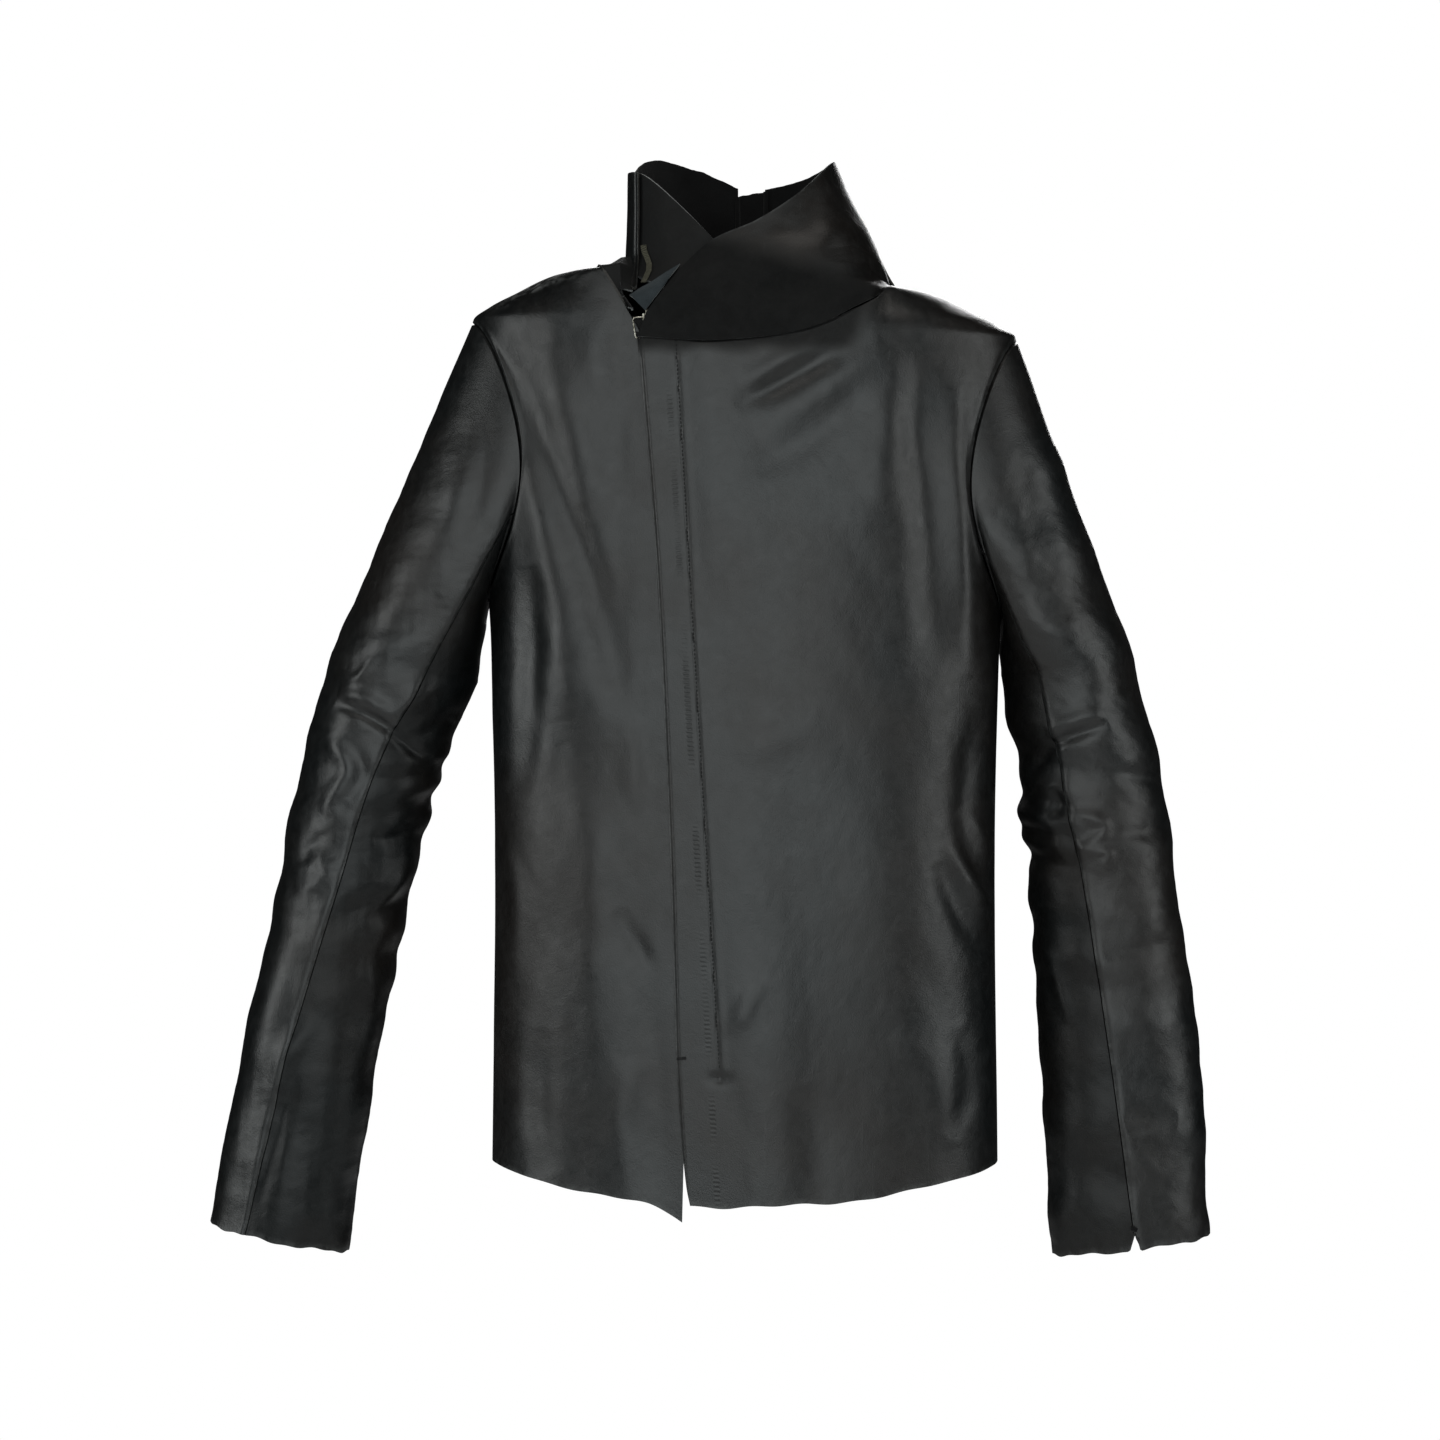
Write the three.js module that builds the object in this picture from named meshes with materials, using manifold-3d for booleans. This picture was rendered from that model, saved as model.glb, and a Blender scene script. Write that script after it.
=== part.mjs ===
// Leather jacket with a high funnel collar and an off-centre concealed zip.
// Millimetres, +Z up. The front faces -Y and the wearer's left is +X.
// The origin is the middle of the neck base, level with the shoulders at the neck.
import * as THREE from 'three';
import { mergeVertices } from 'three/addons/utils/BufferGeometryUtils.js';
import Module from 'manifold-3d';

const wasm = await Module();
wasm.setup();

// Leather and fits
const leather = 1.8;            // thickness of every leather piece
const gap = 0.3;                // between pieces that are sewn or lie on each other
const sideSeam = leather / 3;   // from the side and shoulder seams' plane to each panel's edge
const armholeGap = 2.6;         // between the body's armhole edge and the sleeve head
const fullness = 2.5;           // squareness of the body's level sections, 2 is an ellipse

// Body
const shoulderHalf = 207;       // neck centre to each shoulder tip
const neckHalf = 111;           // neck centre to where each shoulder line meets the neck
const leftTipDrop = 42;         // shoulder tips below the origin: the jacket hangs a little askew
const rightTipDrop = 28;
const chestHalf = 193;          // half width at the armpits
const waistHalf = 190;
const hemHalf = 192;
const hemDrop = 664;            // side of the hem below the origin
const hemBelly = 30;            // how much lower the hem runs at the middle
const frontTop = 92;            // mid-plane to the front, at the neck and at the hem
const frontHem = 104;
const backNeck = 64;            // mid-plane to the back: neck, shoulder blades, waist, hem
const backBlade = 112;
const backWaist = 88;
const backHem = 100;
const armholeDrop = 212;        // shoulder tip down to the armpit
const armholeFront = 65;        // mid-plane to the armhole seam, at the chest and at the shoulder blade
const armholeBack = 72;
const frontPoint = 13;          // the right front's lower corner hangs this far under the hem

// Collar
const collarLeft = -89;         // extremes of the collar's upper rim
const collarRight = 69;
const collarPeak = 93;          // rim height at the wearer's left
const collarRim = 99;           // rim height at the wearer's right
const backRim = 77;             // rim height at the middle of the back
const collarFront = 76;         // mid-plane to the collar's front and back at the rim
const collarBack = 54;
const foldEdge = -80.5;         // inner edge of the folded strip at the collar's right
const standInset = 3.2;         // how far the right stand lies behind the left one

// Sleeves: stations down the arm, from the first full ring under the armpit to the cuff. At each, outer is
// how far the outer edge lies beyond the shoulder tip, and inner how far the inner edge lies beyond the side.
const cuffDrop = 728;
const underArm = 36;            // first full ring below the armpit of the wearer's left sleeve
const sleeveDepths = [62, 54, 47, 41, 34];       // half depth, front to back
const sleeveForward = [4, 2, -4, -12, -18];      // middle of the section, + is backwards
const leftSleeve = {
  side: 1, tipDrop: leftTipDrop, drops: [leftTipDrop + armholeDrop + underArm, 372, 460, 600, cuffDrop],
  outer: [90, 110, 121, 139, 145], inner: [3, 17, 26, 33, 40], frontSeam: [124, 119, 110, 100, 90],
};
const rightSleeve = {
  side: -1, tipDrop: rightTipDrop, drops: [leftTipDrop + armholeDrop + underArm, 372, 460, 600, cuffDrop - 6],
  outer: [109, 132, 148, 176, 198], inner: [13, 44, 64, 91, 108], frontSeam: [114, 100, 90, 74, 64],
};
const backSeam = [236, 240, 244, 248, 252];

// Zip, laid out in its own frame: w across, n outwards, s down the zip
const zipTop = { x: -71, z: -36 };
const zipBottom = { x: -38, z: -587 };
const zipTravel = 520;
const placketStep = 4.6;        // outer face of the left front above that of the right front
const placketLip = 9;           // placket edge to the zip, measured at the top and bottom
const stitchReach = 18.5;       // zip to the placket's line of stitching
const tapeWidth = 13;
const tapeThick = 0.8;
const coilWidth = 1.4;
const coilThick = 1.3;
const slider = { half: 5, long: 13, plate: 1.0, web: 1.6, clearance: 0.3 };
const pull = { wire: 1.2, width: 13, long: 17, aside: 6.5 };
const bail = { width: 1.2, roof: 0.6, leg: 1.0, room: 2.6 };

const blackLeather = new THREE.MeshStandardMaterial({ color: 0x202322, roughness: 0.45 });
const suede = new THREE.MeshStandardMaterial({ color: 0x101112, roughness: 0.95 });
const slateSuede = new THREE.MeshStandardMaterial({ color: 0x2c3336, roughness: 0.9 });
const tapeCloth = new THREE.MeshStandardMaterial({ color: 0x55564a, roughness: 0.9 });
const coilNylon = new THREE.MeshStandardMaterial({ color: 0x1c1c1c, roughness: 0.5 });
const steel = new THREE.MeshStandardMaterial({ color: 0xa8a8a4, roughness: 0.3, metalness: 1 });

const jacket = new THREE.Group();
const V = (x, y, z) => new THREE.Vector3(x, y, z);
const mix = (a, b, t) => a + (b - a) * t;
const ease = (lo, hi, v) => THREE.MathUtils.smoothstep(v, lo, hi);

function addPiece(name, geometry, material, parent = jacket) {
  const mesh = new THREE.Mesh(geometry, material);
  mesh.name = name;
  parent.add(mesh);
  return mesh;
}

// Smooth curve through (at, value) pairs, without overshoot between them.
function through(pairs) {
  const n = pairs.length;
  const slope = pairs.slice(1).map((p, i) => (p[1] - pairs[i][1]) / (p[0] - pairs[i][0]));
  const tangent = pairs.map((p, i) => {
    if (i === 0) return slope[0];
    if (i === n - 1) return slope[n - 2];
    const [a, b] = [slope[i - 1], slope[i]];
    return a * b <= 0 ? 0 : (2 * a * b) / (a + b);
  });
  return (at) => {
    let i = 0;
    while (i < n - 2 && at > pairs[i + 1][0]) i += 1;
    const h = pairs[i + 1][0] - pairs[i][0];
    const t = THREE.MathUtils.clamp((at - pairs[i][0]) / h, 0, 1);
    const value = (1 + 2 * t) * (1 - t) ** 2 * pairs[i][1] + t * t * (3 - 2 * t) * pairs[i + 1][1];
    return value + h * (t * (1 - t) ** 2 * tangent[i] - t * t * (1 - t) * tangent[i + 1]);
  };
}

// A closed sheet of leather: its outer face is the grid of points, its inner face lies one thickness in.
function sheet(grid, thickness, outward = 1) {
  const rows = grid.length;
  const cols = grid[0].length;
  const normals = grid.map((row, j) => row.map((_, i) => {
    const du = V().subVectors(grid[j][Math.min(i + 1, cols - 1)], grid[j][Math.max(i - 1, 0)]);
    const dv = V().subVectors(grid[Math.min(j + 1, rows - 1)][i], grid[Math.max(j - 1, 0)][i]);
    return V().crossVectors(du, dv).normalize().multiplyScalar(outward);
  }));
  const points = [];
  for (const depth of [0, thickness]) {
    grid.forEach((row, j) => row.forEach((p, i) => {
      const q = p.clone().addScaledVector(normals[j][i], -depth);
      points.push(q.x, q.y, q.z);
    }));
  }
  const index = [];
  const inner = rows * cols;
  const quad = (a, b, c, d) => index.push(a, b, c, a, c, d);
  for (let j = 0; j < rows - 1; j += 1) {
    for (let i = 0; i < cols - 1; i += 1) {
      const a = j * cols + i;
      quad(a, a + 1, a + cols + 1, a + cols);
      quad(inner + a, inner + a + cols, inner + a + cols + 1, inner + a + 1);
    }
  }
  const rim = [];
  for (let i = 0; i < cols - 1; i += 1) rim.push(i);
  for (let j = 0; j < rows - 1; j += 1) rim.push(j * cols + cols - 1);
  for (let i = cols - 1; i > 0; i -= 1) rim.push((rows - 1) * cols + i);
  for (let j = rows - 1; j > 0; j -= 1) rim.push(j * cols);
  rim.forEach((a, k) => {
    const b = rim[(k + 1) % rim.length];
    quad(b, a, inner + a, inner + b);
  });
  if (outward < 0) {
    for (let k = 0; k < index.length; k += 3) [index[k + 1], index[k + 2]] = [index[k + 2], index[k + 1]];
  }
  const geometry = new THREE.BufferGeometry();
  geometry.setAttribute('position', new THREE.Float32BufferAttribute(points, 3));
  geometry.setIndex(index);
  return geometry;
}

// A patch between four edges: each inner point follows the two edges across and the two edges up.
function patch(bottom, top, left, right) {
  const cols = bottom.length;
  const rows = left.length;
  const grid = [];
  for (let j = 0; j < rows; j += 1) {
    const v = j / (rows - 1);
    const row = [];
    for (let i = 0; i < cols; i += 1) {
      const u = i / (cols - 1);
      const p = bottom[i].clone().lerp(top[i], v).add(left[j].clone().lerp(right[j], u));
      const low = bottom[0].clone().lerp(bottom[cols - 1], u);
      const high = top[0].clone().lerp(top[cols - 1], u);
      row.push(p.sub(low.lerp(high, v)));
    }
    grid.push(row);
  }
  return grid;
}

// Half width of the body's outline at a height, to one side.
function outline(side, tipDrop) {
  const fall = (share) => -tipDrop + (tipDrop - 2) * share + (side < 0 ? 14 * share : 0);
  return through([
    [-hemDrop, hemHalf], [-450, waistHalf], [-tipDrop - armholeDrop - 40, chestHalf],
    [-tipDrop - 0.62 * armholeDrop, mix(shoulderHalf, chestHalf, 0.4)],
    [-tipDrop - 40, shoulderHalf], [-tipDrop, shoulderHalf], [fall(0.25), mix(shoulderHalf, neckHalf, 0.13)],
    [fall(0.5), mix(shoulderHalf, neckHalf, 0.33)], [fall(0.83), mix(shoulderHalf, neckHalf, 0.62)],
    [fall(1), neckHalf], [fall(1) + 12, neckHalf - 20],
  ]);
}
const outlineLeft = outline(1, leftTipDrop);
const outlineRight = outline(-1, rightTipDrop);
const halfWidth = (x, z) => (x > 0 ? outlineLeft(z) : outlineRight(z));
const frontDepth = through([[-hemDrop - 20, frontHem], [-36, frontTop], [-10, 82], [20, 66]]);
const backDepth = through([
  [-hemDrop - 20, backHem], [-450, backWaist], [-200, backBlade], [-80, 98], [-20, 78],
  [5, backNeck], [30, 54],
]);
function bodyY(x, z, front) {
  const share = Math.min(Math.abs(x) / halfWidth(x, z), 1);
  const depth = (1 - share ** fullness) ** (1 / fullness);
  return front ? -Math.max(frontDepth(z) * depth, sideSeam) : Math.max(backDepth(z) * depth, sideSeam);
}

// The zip's frame
const zipSlope = (zipBottom.x - zipTop.x) / (zipBottom.z - zipTop.z);
const zipX = (z) => zipTop.x + (z - zipTop.z) * zipSlope;
const zipStart = V(zipTop.x, bodyY(zipTop.x, zipTop.z, true) + placketStep, zipTop.z);
const zipEnd = V(zipBottom.x, bodyY(zipBottom.x, zipBottom.z, true) + placketStep, zipBottom.z);
const zipDown = V().subVectors(zipEnd, zipStart).normalize();
const zipOut = V(-0.07, -1, 0).addScaledVector(zipDown, -V(-0.07, -1, 0).dot(zipDown)).normalize();
const zipAcross = V().crossVectors(zipOut, zipDown);
const zipFrame = new THREE.Group();
zipFrame.position.copy(zipStart);
zipFrame.quaternion.setFromRotationMatrix(new THREE.Matrix4().makeBasis(zipAcross, zipOut, zipDown));
jacket.add(zipFrame);
const zipPlaneY = (x, z, n) => zipStart.y
  + (n - (x - zipStart.x) * zipOut.x - (z - zipStart.z) * zipOut.z) / zipOut.y;

// The fronts lie flat beside the zip, and run out into the body's round away from it and towards the shoulder.
function frontY(x, z, level) {
  const flat = zipPlaneY(x, z, level);
  const away = Math.abs(x - zipX(z));
  const share = Math.abs(x) / halfWidth(x, z);
  return mix(flat, bodyY(x, z, true), Math.max(ease(24, 90, away), ease(0.66, 0.97, share)));
}

function bodyX(side, y, z) {
  const depth = y < 0 ? frontDepth(z) : backDepth(z);
  const share = Math.min(Math.abs(y) / depth, 1);
  return halfWidth(side, z) * (1 - share ** fullness) ** (1 / fullness);
}

// Armhole seam: angle 0 at the shoulder tip, 90 at the front, 180 at the armpit, 270 at the back.
function armhole(sleeve, degrees) {
  const turn = THREE.MathUtils.degToRad(degrees);
  const share = (1 - Math.cos(turn)) / 2;
  const z = -sleeve.tipDrop - armholeDrop * share;
  const reach = Math.sin(turn) > 0 ? -armholeFront : armholeBack;
  const y = reach * Math.abs(Math.sin(turn)) ** mix(0.6, 0.9, share);
  return V(sleeve.side * bodyX(sleeve.side, y, z), y, z);
}

// A body panel's outer edge: up the side seam from the hem, then round half of the armhole.
const sideRows = 7;
const armRows = 8;
const panelCols = 12;
const lastOf = (list) => list[list.length - 1];
function sideEdge(sleeve, front) {
  const pit = armhole(sleeve, 180);
  const points = Array.from({ length: sideRows }, (_, k) => {
    const z = mix(-hemDrop, pit.z, k / sideRows);
    return V(sleeve.side * halfWidth(sleeve.side, z), 0, z);
  });
  for (let k = 0; k <= armRows; k += 1) {
    const turn = 180 - (180 * k) / armRows;
    points.push(armhole(sleeve, front ? turn : 360 - turn).setY(0));
  }
  return points;
}

// Points along a smooth line, at the shares given.
const flat = (points) => points.map(([x, z]) => V(x, 0, z));
function alongAt(points, shares) {
  const curve = new THREE.CatmullRomCurve3(flat(points), false, 'centripetal');
  return shares.map((share) => curve.getPointAt(share));
}
const heightShares = (edge) => edge.map((p) => (p.z - edge[0].z) / (lastOf(edge).z - edge[0].z));
const bunched = Array.from({ length: panelCols + 1 }, (_, i) => 1 - (1 - i / panelCols) ** 1.7);

// Lays a flat patch between four edges on a surface given as y over x and z.
function lay(edges, surface, outward, thickness = leather) {
  const grid = patch(...edges);
  grid.forEach((row) => row.forEach((p) => p.setY(surface(p.x, p.z))));
  return sheet(grid, thickness, outward);
}

// Height of the body's outline above a place on the shoulder.
function shoulderZ(x) {
  let [low, high] = [-leftTipDrop, 40];
  for (let n = 0; n < 24; n += 1) {
    const z = (low + high) / 2;
    if (halfWidth(x, z) > Math.abs(x)) low = z;
    else high = z;
  }
  return low;
}
const shoulderLine = (side) => [0, 0.25, 0.5, 0.75, 1].map((share) => {
  const x = side * mix(neckHalf, shoulderHalf - 0.5, share);
  return [x, shoulderZ(x)];
});
const onShoulder = (edge) => edge.map((p) => (Math.abs(p.x) >= neckHalf ? p.setZ(shoulderZ(p.x)) : p));
const hemZ = (x) => -hemDrop - hemBelly * (1 - (x / hemHalf) ** 2);

// Necklines: the left front's runs low across the chest, the back's is level, the right front's is a slope.
const neckFront = [[-80, -49], [-20, -52], [50, -42], [95, -19], [neckHalf, -3]];
const neckBackLeft = [[0.2, 5], [60, 1], [neckHalf, -3]];
const neckBackRight = [[-0.2, 5], [-50, 10], [-88, 21], [-neckHalf, 11]];
const lip = through([[zipBottom.z, placketLip + 4], [-395, 7.5], [-230, 5.6], [-49, placketLip]]);
const placketEdge = (z) => zipX(z) - lip(z);

function buildBody() {
  const leftOuter = sideEdge(leftSleeve, true);
  const leftShares = heightShares(leftOuter);
  const leftHem = bunched.map((u) => mix(-41, hemHalf, u)).map((x) => [x, hemZ(x)]);
  const placket = [-587, -480, -340, -200, -110].map((z) => [placketEdge(z), z]);
  const leftInner = alongAt([leftHem[0], [-44, -672], ...placket, neckFront[0]], leftShares);
  const leftTop = onShoulder(alongAt([...neckFront, ...shoulderLine(1).slice(1)], bunched));
  leftTop[panelCols].copy(lastOf(leftOuter));
  const leftBottom = flat(leftHem);
  leftBottom[panelCols].copy(leftOuter[0]);
  const leftFace = (x, z) => frontY(x, z, placketStep);
  addPiece('left_front_panel', lay([leftBottom, leftTop, leftInner, leftOuter], leftFace, 1), blackLeather);

  const rightOuter = sideEdge(rightSleeve, true);
  const rightHem = bunched.map((u) => {
    const x = mix(-47, -hemHalf, u);
    return [x, hemZ(x) - frontPoint * (1 - u) ** 8];
  });
  const clear = slider.half + 1;
  const rightInner = alongAt(
    [rightHem[0], [-46, -660], ...[-587, -340, -110].map((z) => [zipX(z) - clear, z]), [-78, -46], [-87, -28],
      [-neckHalf, 11]],
    heightShares(rightOuter),
  );
  const rightTop = onShoulder(alongAt(shoulderLine(-1), bunched));
  rightTop[0].copy(lastOf(rightInner));
  rightTop[panelCols].copy(lastOf(rightOuter));
  const rightBottom = flat(rightHem);
  rightBottom[panelCols].copy(rightOuter[0]);
  const rightFace = (x, z) => frontY(x, z, 0);
  const rightEdges = [rightBottom, rightTop, rightInner, rightOuter];
  addPiece('right_front_panel', lay(rightEdges, rightFace, -1), blackLeather);

  const backs = [['left', leftSleeve, neckBackLeft], ['right', rightSleeve, neckBackRight]];
  for (const [name, sleeve, neck] of backs) {
    const outer = sideEdge(sleeve, false);
    const bottom = flat(bunched.map((u) => {
      const x = sleeve.side * mix(0.2, hemHalf, u);
      return [x, hemZ(x)];
    }));
    bottom[panelCols].copy(outer[0]);
    const inner = alongAt([[bottom[0].x, bottom[0].z], [neck[0][0], -340], neck[0]], heightShares(outer));
    const top = onShoulder(alongAt([...neck, ...shoulderLine(sleeve.side).slice(1)], bunched));
    top[panelCols].copy(lastOf(outer));
    const back = (x, z) => bodyY(x, z, false);
    addPiece(`${name}_back_panel`, lay([bottom, top, inner, outer], back, -sleeve.side), blackLeather);
  }
}

// Collar: a ring that leans to the wearer's right as it rises, with its own extremes at each height.
const ringLeft = through([[-50, -104], [0, -92], [40, collarLeft - 1], [collarRim, collarLeft]]);
const ringRight = through([[-50, 124], [0, neckHalf], [37, 96], [67, 80], [collarPeak, collarRight]]);
const ringFront = through([[-50, 92], [0, 82], [collarRim, collarFront]]);
const ringBack = through([[-50, 70], [0, backNeck], [collarRim, collarBack]]);
function ringY(x, z, front, inset) {
  const middle = (ringLeft(z) + ringRight(z)) / 2;
  const half = (ringRight(z) - ringLeft(z)) / 2 - inset;
  const centre = (ringBack(z) - ringFront(z)) / 2;
  const share = Math.min(Math.abs(x - middle) / half, 1);
  const reach = (ringBack(z) + ringFront(z)) / 2 - inset;
  const depth = Math.max(reach * (1 - share ** 2.3) ** (1 / 2.3), 2 * sideSeam);
  return centre + (front ? -depth : depth);
}
const collarFrontY = (inset) => (x, z) => mix(
  frontY(x, z, placketStep) + inset, ringY(x, z, true, inset), ease(mix(-22, -45, ease(-55, 30, x)), 22, z));
const collarBackY = (x, z) => mix(bodyY(x, z, false), ringY(x, z, false, 0), ease(-5, 35, z));
const evenly = (n) => Array.from({ length: n + 1 }, (_, i) => i / n);

// One collar piece between its lower and upper edges. A side is straight, or follows a line x(z).
function collarPiece(
  name, lower, upper, sides, surface, outward, material, cols = 8, rows = 6, thick = leather,
) {
  const shares = evenly(cols);
  const [low, high] = [alongAt(lower, shares), alongAt(upper, shares)];
  const ends = [0, cols].map((at, k) => evenly(rows).map((share) => {
    const p = low[at].clone().lerp(high[at], share);
    return sides[k] ? p.setX(sides[k](p.z)) : p;
  }));
  for (const [k, at] of [0, cols].entries()) {
    low[at].copy(ends[k][0]);
    high[at].copy(ends[k][rows]);
  }
  addPiece(name, lay([low, high, ...ends], surface, outward, thick), material);
}

function buildCollar() {
  const lift = leather + 0.1;
  const seam = neckFront.map(([x, z]) => [x, z + lift]);
  const rim = [
    [-73.5, -29], [-58, -8], [-42, 11.5], [-24, 26.5], [9, 41], [42, 64], [collarRight, collarPeak],
  ];
  collarPiece('collar_left_front', seam, rim, [null, ringRight], collarFrontY(0), 1, blackLeather, 12, 8);
  const stand = [[-83, 2], [-50, -14], [-14, -16]];
  collarPiece('collar_right_stand', stand, [[-83, 82], [-78, 80], [-24, 27], [-12, 12]], [],
    collarFrontY(standInset), 1, suede, 8, 8);
  collarPiece('collar_fold_strip', [[ringLeft(0), -8], [foldEdge, -10]], [[collarLeft, 84], [foldEdge, 81]],
    [ringLeft, null], collarFrontY(0), 1, blackLeather, 4, 6);
  collarPiece('collar_corner_flap', [[-74.2, -28], [-58.6, -6.6]], [[-86, -16], [-49, 8.5]], [],
    collarFrontY(0), 1, slateSuede, 4, 3, 1);
  collarPiece('neck_gusset', [[-87, -26], [-92, -11]], [[-neckHalf + 0.8, 11.2], [-94, 20]], [],
    (x, z) => frontY(x, z, 0), 1, blackLeather, 3, 3);
  collarPiece('collar_back_left', [[16.4, 5], [60, 2], [neckHalf, -2]],
    [[16.4, backRim + 3], [40, 84], [collarRight, collarPeak]], [null, ringRight], collarBackY, -1, suede);
  collarPiece('collar_back_strip', [[-4.4, 6], [16, 5.6]], [[-4.4, backRim - 2], [16, backRim + 1]], [],
    collarBackY, -1, suede, 3, 6);
  collarPiece('collar_back_right', [[-89.5, 25], [-50, 11.2], [-4.8, 6]],
    [[collarLeft, 85], [-73, collarRim], [-40, 95], [-4.8, backRim + 4]], [ringLeft, null],
    collarBackY, -1, suede);
}

// Sleeves: from the armhole ring to a first full ring, then ring by ring to the cuff.
function sleevePoint(sleeve, degrees, ring) {
  const turn = THREE.MathUtils.degToRad(degrees);
  const station = (list) => through(list.map((value, k) => [k + 1, value]))(Math.max(ring, 1));
  const [outer, inner] = [shoulderHalf + station(sleeve.outer), chestHalf + station(sleeve.inner)];
  const drop = station(sleeve.drops);
  const lean = (lastOf(sleeve.outer) - sleeve.outer[0]) / (lastOf(sleeve.drops) - sleeve.drops[0]);
  const reach = ((outer - inner) / 2) * Math.cos(turn);
  const full = V(
    sleeve.side * ((outer + inner) / 2 + reach),
    station(sleeveForward) - station(sleeveDepths) * Math.sin(turn),
    -drop + reach * lean,
  );
  if (ring >= 1) return full;
  const seam = armhole(sleeve, degrees);
  const run = V().subVectors(full, seam);
  const aside = V(sleeve.side, 0, 1).setLength(armholeGap);
  const start = seam.add(run.setLength(armholeGap).lerp(aside, ease(0, 0.6, -Math.cos(turn))));
  if (ring === 0) return start;
  const swell = 14 * ring * (1 - ring) * Math.abs(Math.sin(turn));
  const point = besideBody(start, sleeve.side).lerp(full, ring);
  return besideBody(point.add(V(0, -Math.sign(Math.sin(turn)) * swell, 0)), sleeve.side);
}

// Under the arm the sleeve lies outside the body's side.
function besideBody(point, side) {
  const clear = bodyX(side, point.y, point.z) + armholeGap;
  const under = ease(90, 190, -point.z);
  return point.setX(side * Math.max(Math.abs(point.x), mix(Math.abs(point.x), clear, under)));
}

function buildSleeve(name, sleeve, parent) {
  const seamAt = (list, ring) => through(list.map((value, k) => [k + 1, value]))(Math.max(ring, 1));
  const rings = [0, 0.03, 0.14, 0.3, 0.6, 1, 1.5, 2, 2.5, 3, 3.5, 4, 4.5, 5];
  const half = 0.4;
  const strip = (from, to, cols) => sheet(rings.map((ring) => evenly(cols).map((u) => sleevePoint(
    sleeve, mix(from(ring), to(ring), u), ring))), leather, -sleeve.side);
  const front = (ring) => seamAt(sleeve.frontSeam, ring);
  const back = (ring) => seamAt(backSeam, ring);
  const over = strip((ring) => back(ring) - 360 + half, (ring) => front(ring) - half, 12);
  addPiece(`${name}_top_sleeve`, over, blackLeather, parent);
  const under = strip((ring) => front(ring) + half, (ring) => back(ring) - half, 8);
  addPiece(`${name}_under_sleeve`, under, blackLeather, parent);
}

// Zip: strips are sections across the zip, drawn out along it.
function drawOut(section, from, to) {
  const shape = new THREE.Shape(section.map(([w, n]) => new THREE.Vector2(w, n)));
  const geometry = new THREE.ExtrudeGeometry(shape, { depth: to - from, bevelEnabled: false });
  return geometry.translate(0, 0, from);
}
const bar = (w0, w1, n0, n1) => [[w0, n0], [w1, n0], [w1, n1], [w0, n1]];

function solid(geometry) {
  const bare = geometry.clone();
  bare.deleteAttribute('normal');
  bare.deleteAttribute('uv');
  const merged = mergeVertices(bare);
  return new wasm.Manifold(new wasm.Mesh({
    numProp: 3,
    vertProperties: new Float32Array(merged.attributes.position.array),
    triVerts: new Uint32Array(merged.index.array),
  }));
}
function fromSolid(body) {
  const mesh = body.getMesh();
  const geometry = new THREE.BufferGeometry();
  geometry.setAttribute('position', new THREE.Float32BufferAttribute(mesh.vertProperties, 3));
  geometry.setIndex(Array.from(mesh.triVerts));
  return geometry;
}

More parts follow.
